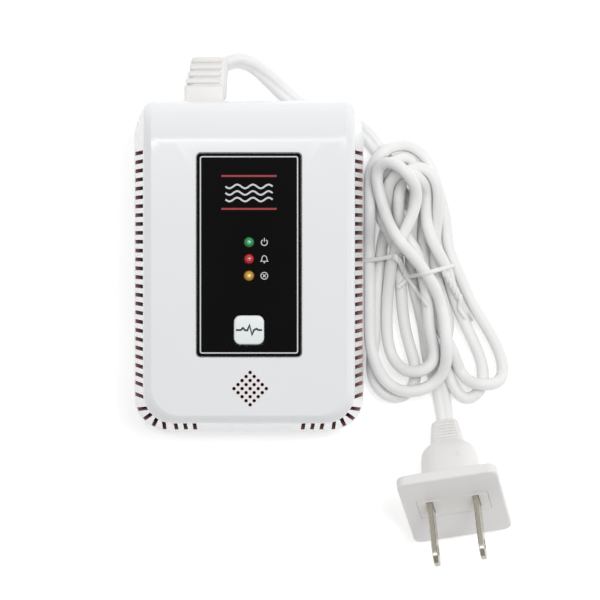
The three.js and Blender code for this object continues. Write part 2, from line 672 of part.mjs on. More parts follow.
add(detector, 'front_cover', frontCover(), WHITE_CASE);
add(detector, 'rear_housing', rearHousing(), WHITE_CASE);
add(detector, 'label_panel', labelPanel(), BLACK_PANEL);
for (const lamp of LEDS) {
  add(detector, lamp.name, led(lamp.y), material(lamp.colour, 0.15));
}
add(detector, 'test_button', testButton(), WHITE_CASE);
add(detector, 'switch_plunger', switchPlunger(), BLACK_PLASTIC);
add(detector, 'tact_switch', tactSwitch(), BLACK_PLASTIC);

add(detector, 'main_board', mainBoard(), BOARD_GREEN);
add(detector, 'transformer_core', transformerCore(), STEEL);
add(detector, 'transformer_winding', transformerWinding(), YELLOW_TAPE);
add(detector, 'fuse', fuse(), GLASS);
add(detector, 'fuse_clip_upper', fuseClip(1), STEEL);
add(detector, 'fuse_clip_lower', fuseClip(-1), STEEL);
add(detector, 'filter_capacitor', capacitor(5, 16).translate(14.6, 5, PART_Z), BLACK_PLASTIC);
add(detector, 'output_capacitor', capacitor(3.15, 11).translate(-6, -6.5, PART_Z), BLACK_PLASTIC);
add(detector, 'terminal_block', terminalBlock(), TERMINAL_GREEN);
add(detector, 'live_wire', mainsWire(-1), WIRE_BROWN);
add(detector, 'neutral_wire', mainsWire(1), WIRE_BLUE);
add(detector, 'voltage_regulator', voltageRegulator(), BLACK_PLASTIC);
add(detector, 'microcontroller', microcontroller(), BLACK_PLASTIC);
add(detector, 'gas_sensor_base', sensorBase(), COPPER_RED);
add(detector, 'gas_sensor_cap', sensorCap(), STEEL);
add(detector, 'gas_sensor_element', sensorElement(), CERAMIC);
add(detector, 'buzzer', buzzer(), BLACK_PLASTIC);
add(detector, 'trimmer', trimmer(), TRIMMER_BLUE);

CASE_SCREWS.forEach(([x, y], i) => add(detector, `case_screw_${i + 1}`, caseScrew(x, y), STEEL));
BOARD_SCREWS.forEach(([x, y], i) => add(detector, `board_screw_${i + 1}`, boardScrew(x, y), STEEL));

add(detector, 'cord_gland', cordGland(), WHITE_PLUG);
add(detector, 'cord_lead', tube(LEAD_ROUTE, FLAT_CORD, 20), WHITE_CORD);
add(detector, 'cord_hank', cordHank(), WHITE_CORD);
for (const tie of TIES) {
  add(detector, tie.name, twistTie(tie), WHITE_PLUG);
}

const plug = new THREE.Group();
const yaw = THREE.MathUtils.degToRad(PLUG.yaw);
const tilt = THREE.MathUtils.degToRad(PLUG.tilt);
const nose = new THREE.Vector3(0, -Math.cos(tilt), Math.sin(tilt)).applyAxisAngle(
  new THREE.Vector3(0, 0, 1), yaw);
const right = new THREE.Vector3(Math.cos(yaw), Math.sin(yaw), 0);
plug.quaternion.setFromRotationMatrix(
  new THREE.Matrix4().makeBasis(right, new THREE.Vector3().crossVectors(nose, right), nose));
plug.rotateZ(THREE.MathUtils.degToRad(PLUG.roll));
plug.position.set(PLUG.x, PLUG.y, 0);
add(plug, 'plug_body', plugBody(), WHITE_PLUG);
add(plug, 'plug_insert', plugInsert(), WHITE_PLUG);
add(plug, 'plug_blade_left', plugBlade(-1), BLADE_METAL);
add(plug, 'plug_blade_right', plugBlade(1), BLADE_METAL);
plug.updateMatrixWorld(true);
plug.position.z = 0.05 - new THREE.Box3().setFromObject(plug, true).min.z;
detector.add(plug);

const backwards = new THREE.Vector3(-Math.sin(yaw), Math.cos(yaw), 0);
const entry = plug.position.clone().addScaledVector(backwards, 1.4).setZ(CORD_LIE);
const TAIL_ROUTE = [
  [53.5, -35.35, CORD_LIE], [53.7, -37.2, CORD_LIE], [54.1, -39.4, CORD_LIE], entry.toArray(),
];
add(detector, 'cord_tail', tube(TAIL_ROUTE, FLAT_CORD, 5), WHITE_CORD);

export default detector;
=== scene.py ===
import math

import bmesh
import bpy
import numpy as np
from mathutils import Matrix, Vector


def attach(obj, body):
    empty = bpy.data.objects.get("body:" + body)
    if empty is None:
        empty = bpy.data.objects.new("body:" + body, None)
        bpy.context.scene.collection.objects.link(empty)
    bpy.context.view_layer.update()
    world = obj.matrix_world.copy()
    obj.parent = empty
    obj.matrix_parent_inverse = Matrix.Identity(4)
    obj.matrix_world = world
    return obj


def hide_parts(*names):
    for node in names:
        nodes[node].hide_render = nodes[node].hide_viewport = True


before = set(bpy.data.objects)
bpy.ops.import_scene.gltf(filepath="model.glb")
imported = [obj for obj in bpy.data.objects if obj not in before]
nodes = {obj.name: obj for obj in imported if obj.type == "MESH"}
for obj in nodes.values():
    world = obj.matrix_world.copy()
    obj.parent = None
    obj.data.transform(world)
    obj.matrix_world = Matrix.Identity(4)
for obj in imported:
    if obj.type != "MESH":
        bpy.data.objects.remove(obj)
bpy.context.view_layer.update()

# All shapes are drawn in millimetres, in the frame of the CAD model, and scaled when the mesh is made.
MM = 0.001

# ---------------------------------------------------------------- camera

NADIR = (0.0, 0.007)
CAMERA_HEIGHT = 0.850
camera_data = bpy.data.cameras.new("camera")
camera_data.lens = 183
camera_data.sensor_width = 36
camera_data.shift_x = 0.085
camera_data.shift_y = -0.0983
camera = bpy.data.objects.new("camera", camera_data)
camera.location = (NADIR[0], NADIR[1], CAMERA_HEIGHT)
bpy.context.scene.collection.objects.link(camera)
bpy.context.scene.camera = camera

# ---------------------------------------------------------------- driving dimensions

GAP = 0.3
HALF_WIDTH = 31.5
HALF_HEIGHT = 45.0
DEPTH = 34.0
WALL = 2.0
CORNER_RADIUS = 9.0
COVER_Z = 11.3
REAR_DEPTH = 11.0
REAR_TOP = 38.0
REAR_CUT = (22.5, 28.0)
SHOULDER_Z = 30.5
DRAFT = 3.0
EDGE_INSET = 2.3
ROLL_RADIUS = 11.5
TOP_CUT = (26.6, 36.4, 1.6)

PANEL = dict(width=27.9, height=54.4, y=3.3, radius=1.0, thickness=0.5)
PANEL_TOP = DEPTH + 0.15
LEDS = (("led_power", 6.7), ("led_alarm", 2.2), ("led_fault", -2.3))
LED_RADIUS = 1.5
BUTTON = dict(width=8.1, height=7.8, y=-16.8, radius=1.8, top=34.7, cap=3.2)
GRILLE = dict(x=0.3, y=-32.5, step=1.08, radius=0.4, half=2)

CORD_WIDTH = 5.0
CORD_THICK = 3.2
CORD_LIE = 1.65

# ---------------------------------------------------------------- mesh helpers


def smooth(obj, angle=35):
    mesh = obj.data
    for polygon in mesh.polygons:
        polygon.use_smooth = True
    mesh.set_sharp_from_angle(angle=math.radians(angle))


def piece(name, solid, *materials, angle=35):
    points, faces = solid
    mesh = bpy.data.meshes.new(name)
    mesh.from_pydata([tuple(p) for p in np.asarray(points, float) * MM], [], [tuple(f) for f in faces])
    bm = bmesh.new()
    bm.from_mesh(mesh)
    bmesh.ops.recalc_face_normals(bm, faces=bm.faces)
    bm.to_mesh(mesh)
    bm.free()
    obj = bpy.data.objects.new(name, mesh)
    bpy.context.scene.collection.objects.link(obj)
    for material in materials:
        mesh.materials.append(material)
    smooth(obj, angle)
    return obj


def together(*solids):
    points, faces, start = [], [], 0
    for p, f in solids:
        points.append(np.asarray(p, float))
        faces += [[start + i for i in face] for face in f]
        start += len(p)
    return np.vstack(points), faces


def loft(rings, closed=False):
    count = len(rings[0])
    points = np.vstack([np.asarray(r, float) for r in rings])
    faces = []
    for i in range(len(rings) - 1 + int(closed)):
        a = i * count
        b = ((i + 1) % len(rings)) * count
        faces += [[a + j, a + (j + 1) % count, b + (j + 1) % count, b + j] for j in range(count)]
    if not closed:
        faces.append(list(range(count))[::-1])
        faces.append(list(range(len(points) - count, len(points))))
    return points, faces


def at(outline, z):
    outline = np.asarray(outline, float)
    return np.c_[outline[:, 0], outline[:, 1], np.full(len(outline), float(z))]


def plate(outline, low, high):
    return loft([at(outline, low), at(outline, high)])


def circle(x, y, radius, sides=24):
    angles = np.arange(sides) * 2 * math.pi / sides
    return np.c_[x + radius * np.cos(angles), y + radius * np.sin(angles)]


def rod(x, y, low, high, radius, sides=24):
    return plate(circle(x, y, radius, sides), low, high)


def box(x, y, z, width, height, depth):
    w, h = width / 2, height / 2
    outline = [(x - w, y - h), (x + w, y - h), (x + w, y + h), (x - w, y + h)]
    return plate(outline, z - depth / 2, z + depth / 2)


def rounded(width, height, radius, x=0.0, y=0.0, steps=8):
    points = []
    for quarter, (sx, sy) in enumerate(((1, 1), (-1, 1), (-1, -1), (1, -1))):
        for i in range(steps + 1):
            angle = (quarter + i / steps) * math.pi / 2
            points.append((x + sx * (width / 2 - radius) + radius * math.cos(angle),
                           y + sy * (height / 2 - radius) + radius * math.sin(angle)))
    return np.array(points)


def softened(width, height, radius, low, high, edge_low, edge_high, x=0.0, y=0.0, steps=5):
    """A rounded slab whose lower and upper edges are rounded too."""
    rings = []
    for i in range(steps + 1):
        angle = i / steps * math.pi / 2
        inset = edge_low * (1 - math.sin(angle))
        rings.append(at(rounded(width - 2 * inset, height - 2 * inset, max(radius - inset, 0.05), x, y),
                        low + edge_low * (1 - math.cos(angle))))
    for i in range(steps + 1):
        angle = i / steps * math.pi / 2
        inset = edge_high * (1 - math.cos(angle))
        rings.append(at(rounded(width - 2 * inset, height - 2 * inset, max(radius - inset, 0.05), x, y),
                        high - edge_high * (1 - math.sin(angle))))
    return loft(rings)


def lathe(profile, sides=48):
    rings = [at(np.c_[max(r, 1e-3) * np.cos(a), max(r, 1e-3) * np.sin(a)], z)
             for a in [np.arange(sides) * 2 * math.pi / sides] for r, z in profile]
    return loft(rings)


def moved(solid, matrix):
    points, faces = solid
    rotation = np.array(matrix.to_3x3())
    return np.asarray(points) @ rotation.T + np.array(matrix.translation), faces


def carve(obj, solid, operation="DIFFERENCE", material=None):
    """Cuts or adds a solid, which keeps its own material on the faces that it leaves."""
    tool = piece("tool", solid, material or obj.data.materials[0])
    modifier = obj.modifiers.new("carve", "BOOLEAN")
    modifier.operation = operation
    modifier.solver = "MANIFOLD"
    modifier.object = tool
    if hasattr(modifier, "material_mode"):
        modifier.material_mode = "TRANSFER"
    bpy.context.view_layer.update()
    result = bpy.data.meshes.new_from_object(obj.evaluated_get(bpy.context.evaluated_depsgraph_get()))
    obj.modifiers.clear()
    old = obj.data
    obj.data = result
    bpy.data.meshes.remove(old)
    bpy.data.objects.remove(tool)
    smooth(obj)
    return obj


def spline(points, per=8):
    """A centripetal Catmull-Rom curve through the points."""
    p = np.asarray(points, float)
    p = np.vstack([2 * p[0] - p[1], p, 2 * p[-1] - p[-2]])
    out = []
    for i in range(1, len(p) - 2):
        p0, p1, p2, p3 = p[i - 1:i + 3]
        t1 = np.linalg.norm(p1 - p0) ** 0.5
        t2 = t1 + np.linalg.norm(p2 - p1) ** 0.5
        t3 = t2 + np.linalg.norm(p3 - p2) ** 0.5
        t = np.linspace(t1, t2, per, endpoint=False)[:, None]
        a1 = (t1 - t) / t1 * p0 + t / t1 * p1
        a2 = (t2 - t) / (t2 - t1) * p1 + (t - t1) / (t2 - t1) * p2
        a3 = (t3 - t) / (t3 - t2) * p2 + (t - t2) / (t3 - t2) * p3
        b1 = (t2 - t) / t2 * a1 + t / t2 * a2
        b2 = (t3 - t) / (t3 - t1) * a2 + (t - t1) / (t3 - t1) * a3
        out.append((t2 - t) / (t2 - t1) * b1 + (t - t1) / (t2 - t1) * b2)
    return np.vstack(out + [p[-2][None]])


def along(line):
    return np.r_[0, np.cumsum(np.linalg.norm(np.diff(line, axis=0), axis=1))]


def spaced(line, step):
    distance = along(line)
    stations = np.linspace(0, distance[-1], int(round(distance[-1] / step)) + 1)
    return np.stack([np.interp(stations, distance, line[:, k]) for k in range(line.shape[1])], 1)


def sweep(line, section, roll=0.0):
    """A section swept along a line; at roll 0 its first axis lies level."""
    line = np.asarray(line, float)
    tangent = np.gradient(line, axis=0)
    tangent /= np.linalg.norm(tangent, axis=1)[:, None]
    side = np.cross((0, 0, 1), tangent)
    side /= np.linalg.norm(side, axis=1)[:, None]
    up = np.cross(tangent, side)
    roll = np.broadcast_to(np.asarray(roll, float), len(line))[:, None]
    first = side * np.cos(roll) + up * np.sin(roll)
    second = -side * np.sin(roll) + up * np.cos(roll)
    section = np.asarray(section, float)
    rings = [line[i] + section[:, :1] * first[i] + section[:, 1:] * second[i] for i in range(len(line))]
    return loft(rings)


def oval(a, b, sides=12):
    angles = np.arange(sides) * 2 * math.pi / sides
    return np.c_[a * np.cos(angles), b * np.sin(angles)]


# ---------------------------------------------------------------- materials


def shader(name, colour, roughness, metallic=0.0, coat=0.0, shift=0.04, speck=900.0, bump=0.12,
           bump_scale=2200.0, streaks=None, ior=1.5, subsurface=0.0):
    """A moulded or metal surface: slight colour drift, uneven gloss and a fine surface texture."""
    material = bpy.data.materials.new(name)
    material.use_nodes = True
    tree = material.node_tree
    principled = tree.nodes["Principled BSDF"]
    principled.inputs["Metallic"].default_value = metallic
    principled.inputs["IOR"].default_value = ior
    principled.inputs["Coat Weight"].default_value = coat
    principled.inputs["Coat Roughness"].default_value = 0.08
    if subsurface:
        principled.inputs["Subsurface Weight"].default_value = subsurface
        principled.inputs["Subsurface Radius"].default_value = (1.0, 0.9, 0.8)
        principled.inputs["Subsurface Scale"].default_value = 0.001
    place = tree.nodes.new("ShaderNodeTexCoord")
    stretch = tree.nodes.new("ShaderNodeMapping")
    stretch.inputs["Scale"].default_value = streaks or (1, 1, 1)
    tree.links.new(place.outputs["Object"], stretch.inputs["Vector"])

    def noise(scale, detail):
        node = tree.nodes.new("ShaderNodeTexNoise")
        node.inputs["Scale"].default_value = scale
        node.inputs["Detail"].default_value = detail
        tree.links.new(stretch.outputs["Vector"], node.inputs["Vector"])
        return node

    drift = noise(45.0, 4.0)
    ramp = tree.nodes.new("ShaderNodeValToRGB")
    low = [max(0.0, c * (1 - shift)) for c in colour]
    high = [min(1.0, c * (1 + shift * 0.4)) for c in colour]
    ramp.color_ramp.elements[0].position = 0.3
    ramp.color_ramp.elements[0].color = (*low, 1)
    ramp.color_ramp.elements[1].position = 0.7
    ramp.color_ramp.elements[1].color = (*high, 1)
    tree.links.new(drift.outputs["Fac"], ramp.inputs["Fac"])
    tree.links.new(ramp.outputs["Color"], principled.inputs["Base Color"])

    gloss = noise(speck, 3.0)
    span = tree.nodes.new("ShaderNodeMapRange")
    span.inputs["To Min"].default_value = max(0.02, roughness * 0.8)
    span.inputs["To Max"].default_value = min(1.0, roughness * 1.25)
    tree.links.new(gloss.outputs["Fac"], span.inputs["Value"])
    tree.links.new(span.outputs["Result"], principled.inputs["Roughness"])

    grain = noise(bump_scale, 2.0)
    relief = tree.nodes.new("ShaderNodeBump")
    relief.inputs["Strength"].default_value = bump
    relief.inputs["Distance"].default_value = 0.00005
    tree.links.new(grain.outputs["Fac"], relief.inputs["Height"])
    tree.links.new(relief.outputs["Normal"], principled.inputs["Normal"])
    return material


def srgb(r, g, b):
    """The linear colour of sRGB levels from 0 to 255."""
    return tuple(c / 12.92 if c <= 0.04045 else ((c + 0.055) / 1.055) ** 2.4
                 for c in (r / 255, g / 255, b / 255))


case_white = shader("case_white", srgb(234, 235, 237), 0.20, shift=0.006, bump=0.04)
# Painted shade: a darker reddish colour given to the walls of the vent slots and grille holes and to the
# hollow inside of the cover, where they lie in shade.
recess_painted_shade = shader("recess_painted_shade", srgb(176, 128, 126), 0.6, shift=0.3)
print_white = shader("print_white", srgb(205, 207, 208), 0.45, shift=0.03)
print_red = shader("print_red", srgb(158, 16, 28), 0.45, shift=0.05)
print_dark = shader("print_dark", srgb(38, 44, 50), 0.45, shift=0.08)
panel_black = shader("panel_black", srgb(16, 16, 17), 0.06, ior=1.3, shift=0.15, bump=0.05)
button_white = shader("button_white", srgb(232, 238, 238), 0.32, coat=0.1, shift=0.02)
cord_white = shader("cord_white", srgb(239, 239, 238), 0.42, shift=0.02, subsurface=0.05, bump=0.2)
plug_white = shader("plug_white", srgb(234, 232, 230), 0.40, shift=0.02, subsurface=0.05, bump=0.2)
tie_white = shader("tie_white", srgb(236, 236, 234), 0.35, shift=0.03)
blade_metal = shader("blade_metal", srgb(190, 184, 172), 0.26, metallic=1.0, shift=0.12,
                     streaks=(9, 1, 1), bump=0.3)
steel = shader("steel", srgb(196, 197, 198), 0.3, metallic=1.0, shift=0.12, bump=0.3)

# ---------------------------------------------------------------- route of the lead

# Millimetres of lead between the strain relief and the hank.
LOOSE_LEAD = 58.0

LEAD = [(-6.6, 55.9, 5.9), (-3.6, 57, 5.7), (0.4, 56.2, 4.9), (5, 52.8, 3.4), (9.9, 48.2, 2.2),
        (14.8, 44.1, 1.65), (19.6, 42, 1.65), (24.6, 41.1, 1.65), (29.2, 39.4, 1.65), (32.6, 36.7, 1.65),
        (35, 33.8, 1.65)]
# Heights of the lead on edge in the lower and the upper layer of the hank.
LOW = 2.55
HIGH = 7.65
ENTRY = [(38.6, 28, 2.4), (42.0, 21, LOW), (45.4, 13.5, LOW)]
TURNS = [
    dict(down=[(48.9, 1, LOW), (51.6, -12, LOW)], fold=(64.9, -29.2, 6.3, 28, HIGH),
         up=[(64.9, -15, HIGH), (55.6, 1, LOW), (52.6, 13, LOW)], top=(41.6, 23.4, 9.8, 4, 150, LOW + 2)),
    dict(down=[(33.6, 12, HIGH), (33.6, -10, HIGH)], fold=(44.2, -25.2, 9.9, 5, HIGH),
         up=[(53.2, -13.5, HIGH + 4), (50, -5.4, HIGH + 5), (44.6, 4.6, HIGH + 5), (38, 13, HIGH + 3)],
         top=(40.2, 23.4, 6.2, 190, 5, HIGH + 1)),
    dict(down=[(43.4, 10, HIGH), (38.2, -3, HIGH), (37.2, -15, HIGH)], fold=(46.4, -24.0, 6.3, 32, LOW),
         up=[(50.4, -9, HIGH), (46.8, 4, HIGH)], top=(46.0, 21.6, 6.0, 185, 0, HIGH)),
    dict(down=[(51.4, 9, HIGH), (50.8, -3, HIGH), (53, -16, LOW)], fold=(60.2, -32.2, 5.6, 20, LOW),
         up=[(61, -18, LOW), (53.6, -2, HIGH), (50.4, 10, HIGH)], top=(43.0, 22.4, 6.4, 5, 170, HIGH)),
    dict(down=[(36.6, 10, LOW), (35.2, -4, LOW), (35.0, -16, LOW)], fold=(40.6, -31.6, 5.6, 10, LOW),
         up=[(43.2, -17, LOW), (41.6, -2, LOW)], top=(40.2, 25.2, 6.2, 185, 0, LOW + 4)),
]
EXIT = [(45.4, 17, 7.4), (44.6, 8, 6.6), (45.8, -3, 4.4), (48, -12, LOW), (50.8, -22, LOW),
        (52.4, -30.5, 2.2)]
TAIL = [(53.5, -35.35, 1.65), (53.7, -37.2, 1.65), (54.1, -39.4, 1.65)]


def arc(cx, cy, radius, start, end, z, count=5):
    angles = np.radians(np.linspace(start, end, count))
    return [(cx + radius * math.cos(a), cy + radius * math.sin(a), z) for a in angles]


FOLD_RADIUS = 6.6
STEP = 1.8
# Points nearer than this along the lead don't push each other.
NEIGHBOURS = 13
# Points over which a held end of the lead comes free.
BLEND = 8
# The turns lie this far from the side of the case, below its upper corner.
CASE_CLEAR = 1.85
CASE_SIDE_END = 29
# Height of an arc of the fold radius over a chord of six steps.
FOLD_SAGITTA = FOLD_RADIUS - math.sqrt(FOLD_RADIUS ** 2 - (3 * STEP) ** 2)


def settle(line, first, last, step, rounds=500, wide=3.4, tall=5.1, bending=0.2, home=0.03):
    """Lets the turns push each other apart, sink and even out, until they lie beside and on each other."""
    p = line.copy()
    count = len(p)
    index = np.arange(count)
    apart = np.triu(np.abs(index[:, None] - index[None]) * step > NEIGHBOURS)
    scale = np.array([1 / wide, 1 / wide, 1 / tall])
    after_start = np.clip((index - first) / BLEND, 0, 1)
    before_end = np.clip((count - last - 1 - index) / BLEND, 0, 1)
    free = np.minimum(after_start, before_end)[:, None]
    loose = free[:, 0] > 0
    for turn in range(rounds):
        q = p * scale
        gap = q[:, None] - q[None]
        reach = np.sqrt((gap ** 2).sum(2)) + 1e-9
        a, b = np.nonzero(apart & (reach < 1))
        push = np.clip(1 - reach[a, b], 0, 0.5)[:, None] * gap[a, b] / reach[a, b][:, None] / scale * 0.5
        move = np.zeros_like(p)
        hits = np.zeros(count)
        np.add.at(move, a, push)
        np.add.at(move, b, -push)
        np.add.at(hits, a, 1)
        np.add.at(hits, b, 1)
        move /= np.maximum(hits, 1)[:, None]
        bend = np.zeros_like(p)
        bend[1:-1] = (p[:-2] + p[2:]) / 2 - p[1:-1]
        even = np.zeros_like(p)
        even[1:-1] = (bend[:-2] + bend[2:]) / 2 - bend[1:-1]
        change = 1.2 * move - bending * even
        chord = np.zeros_like(p)
        chord[3:-3] = (p[:-6] + p[6:]) / 2 - p[3:-3]
        sagitta = np.linalg.norm(chord, axis=1)[:, None] + 1e-9
        change += 0.55 * chord * np.clip(1 - FOLD_SAGITTA / sagitta, 0, 1)
        if turn < rounds * 0.6:
            change[:, :2] += home * (line[:, :2] - p[:, :2])
        if turn < rounds * 0.8:
            change[:, 2] -= 0.02
        p = p + np.clip(change, -0.6, 0.6) * free
        p[:, 2] = np.where(loose, np.maximum(p[:, 2], CORD_LIE + 0.9 * free[:, 0]), p[:, 2])
        beside = loose & (p[:, 1] < CASE_SIDE_END)
        p[:, 0] = np.where(beside, np.maximum(p[:, 0], HALF_WIDTH + CASE_CLEAR), p[:, 0])
    return p


blade_points = np.array([v.co for v in nodes["plug_blade_left"].data.vertices]) / MM
PLUG_YAW, PLUG_TILT, PLUG_ROLL = (math.radians(d) for d in (4.3, 33.9, 9.1))
PLUG_LENGTH = 26.8
BLADE_REACH = 17.5
BLADE_SPACING = 12.7
BLADE_WIDTH = 6.35
BLADE_THICK = 1.5
BLADE_OFFSET = 2.1
nose = Vector((math.sin(PLUG_YAW) * math.cos(PLUG_TILT), -math.cos(PLUG_YAW) * math.cos(PLUG_TILT),
               math.sin(PLUG_TILT)))
right = Vector((math.cos(PLUG_YAW), math.sin(PLUG_YAW), 0))
upper = nose.cross(right)
plug_turn = Matrix((right, upper, nose)).transposed().to_4x4() @ Matrix.Rotation(PLUG_ROLL, 4, "Z")
both = np.vstack([blade_points] + [np.array([v.co for v in nodes["plug_blade_right"].data.vertices]) / MM])
local = both @ np.array(plug_turn.to_3x3())
tip = local[:, 2].max()
middle = (local.min(0) + local.max(0)) / 2
plug_place = Matrix.Translation(plug_turn.to_3x3() @ Vector((
    middle[0], middle[1] - BLADE_OFFSET, tip - PLUG_LENGTH - BLADE_REACH)))
plug_frame = plug_place @ plug_turn
plug_entry = np.array(plug_frame.translation)
backwards = np.array((-math.sin(PLUG_YAW), math.cos(PLUG_YAW), 0))

controls = list(LEAD) + list(ENTRY)
for turn in TURNS:
    controls += turn["down"]
    cx, cy, radius, lean, z = turn["fold"]
    controls += arc(cx, cy, radius, 180 + lean, 360 + lean, z)
    controls += turn["up"]
    controls += arc(*turn["top"])
controls += EXIT + TAIL
rough = spaced(spline(controls), STEP)
lead_points = int(LOOSE_LEAD / STEP)
settled = settle(rough, lead_points, 4, STEP)
mouth = plug_entry + 1.4 * backwards
inside_grip = plug_entry - 0.8 * backwards
route = np.vstack([settled, (*mouth[:2], CORD_LIE + 0.05), (*inside_grip[:2], CORD_LIE + 0.3)])

# The bends are evened out, except over the points held at the strain relief and at the plug.
ROUTE_STEP = 0.9
HELD_START = 16
HELD_END = 8
EASING_ROUNDS = 10
route = spaced(spline(route, 4), ROUTE_STEP)
place = np.arange(len(route))
easing = np.minimum(place - HELD_START, len(route) - 1 - HELD_END - place) / BLEND
easing = np.clip(easing, 0, 1)[:, None]
for _ in range(EASING_ROUNDS):
    eased = route.copy()
    eased[1:-1] = (route[:-2] + 2 * route[1:-1] + route[2:]) / 4
    route += (eased - route) * easing
route = spaced(route, ROUTE_STEP)
distance = along(route)
cord_length = distance[-1]

# Two round cores side by side, with the shallow valley between them.
CORE = CORD_THICK / 2
SPREAD = (CORD_WIDTH - CORD_THICK) / 2
VALLEY = 0.16
lobe = np.linspace(-math.pi / 2, math.pi / 2, 11)
between = np.linspace(SPREAD, -SPREAD, 7)[1:-1]
half = np.vstack([np.c_[SPREAD + CORE * np.cos(lobe), CORE * np.sin(lobe)],
                  np.c_[between, CORE - VALLEY * np.cos(between / SPREAD * math.pi / 2) ** 2]])
section = np.vstack([half, -half])


def steps(x, pairs):
    xs, ys = zip(*pairs)
    return np.interp(x, xs, ys)


on_edge = math.pi / 2
roll = steps(distance, [(0, 1.1), (7, 0.9), (15, 0.25), (24, 0), (LOOSE_LEAD, 0),
                        (LOOSE_LEAD + 16, on_edge), (cord_length - 34, on_edge),
                        (cord_length - 12, 0), (cord_length, 0)])
roll = np.convolve(np.pad(roll, 6, mode="edge"), np.ones(13) / 13, "valid")
route[:, 2] = np.maximum(route[:, 2], CORE + SPREAD * np.abs(np.sin(roll)) + 0.06)
cord = piece("cord", sweep(route, section, roll), cord_white, angle=60)

# ---------------------------------------------------------------- strain relief


def block(x0, x1, y0, y1, z0, z1, radius, segments=4):
    bm = bmesh.new()
    bmesh.ops.create_cube(bm, size=1)
    for v in bm.verts:
        v.co = Vector(((x0 + x1) / 2 + v.co.x * (x1 - x0), (y0 + y1) / 2 + v.co.y * (y1 - y0),
                       (z0 + z1) / 2 + v.co.z * (z1 - z0)))
    bmesh.ops.bevel(bm, geom=bm.edges[:], offset=radius, segments=segments, profile=0.5, affect="EDGES")
    bm.verts.ensure_lookup_table()
    points = np.array([v.co for v in bm.verts])
    faces = [[v.index for v in f.verts] for f in bm.faces]
    bm.free()
    return points, faces


def leaning(solid, start, slope):
    points, faces = solid
    points = points.copy()
    points[:, 0] += np.maximum(points[:, 1] - start, 0) * slope
    return points, faces


GLAND_X = -12.3
gland = piece("strain_relief", block(-17.8, -6.9, 38.3, 50.0, 1.8, 10.0, 0.7), plug_white)
carve(gland, leaning(block(-16.8, -6.2, 45.6, 57.9, 2.4, 9.4, 1.5), 50, 0.1), "UNION")
for rib in range(4):
    y = 51.15 + 1.93 * rib
    reach = 0.35 * rib
    carve(gland, leaning(block(-17.5 + reach, -7.9, y - 0.77, y + 0.77, 1.8, 10.1, 0.55), 50, 0.1), "UNION")
carve(gland, box(GLAND_X, 36.6, 5.9, 7.4, 5.6, 5.4), "UNION")
carve(gland, box(GLAND_X, 34.7, 5.9, 10.4, 1.8, 7.4), "UNION")

# ---------------------------------------------------------------- twist ties


def hull(points):
    points = sorted(map(tuple, points))

    def half(items):
        out = []
        for p in items:
            while len(out) > 1 and ((out[-1][0] - out[-2][0]) * (p[1] - out[-2][1])
                                    - (out[-1][1] - out[-2][1]) * (p[0] - out[-2][0])) <= 0:
                out.pop()
            out.append(p)
        return out[:-1]

    return np.array(half(points) + half(points[::-1]))


def surface(x, y):
    """Height of the top of the lead's turns at a place, or of the floor."""
    gap = np.hypot(route[:, 0] - x, route[:, 1] - y)
    near = gap < 1.55
    if not near.any():
        return 0.0
    tall = CORE + SPREAD * np.sin(roll)
    return float((route[near, 2] + tall[near] * np.sqrt(1 - (gap[near] / CORE) ** 2)).max())


def crossings(x, y, turn, low, high):
    across = np.array((math.cos(turn), math.sin(turn)))
    ahead = np.array((-math.sin(turn), math.cos(turn)))
    offset = (route[:, :2] - (x, y)) @ ahead
    found = []
    for i in np.nonzero(offset[:-1] * offset[1:] < 0)[0]:
        t = offset[i] / (offset[i] - offset[i + 1])
        p = route[i] + t * (route[i + 1] - route[i])
        place = float((p[:2] - (x, y)) @ across)
        if low < place < high:
            found.append((place, p[2]))
    return found


def over_turns(line, clear, reach):
    """Heights of a stiff wire that lies over the turns."""
    heights = np.pad([surface(*p) for p in line], 2 * reach, mode="edge")
    tallest = np.lib.stride_tricks.sliding_window_view(heights, 2 * reach + 1).max(1)
    return np.convolve(tallest, np.ones(2 * reach + 1) / (2 * reach + 1), "valid") + clear


# Half sizes of the ties' band and of one twisted wire, and the twist's pitch and radius.
TIE_BAND = (0.62, 0.38)
TIE_WIRE = (0.66, 0.42)
TWIST_PITCH = 3.8
TWIST_RADIUS = 0.55


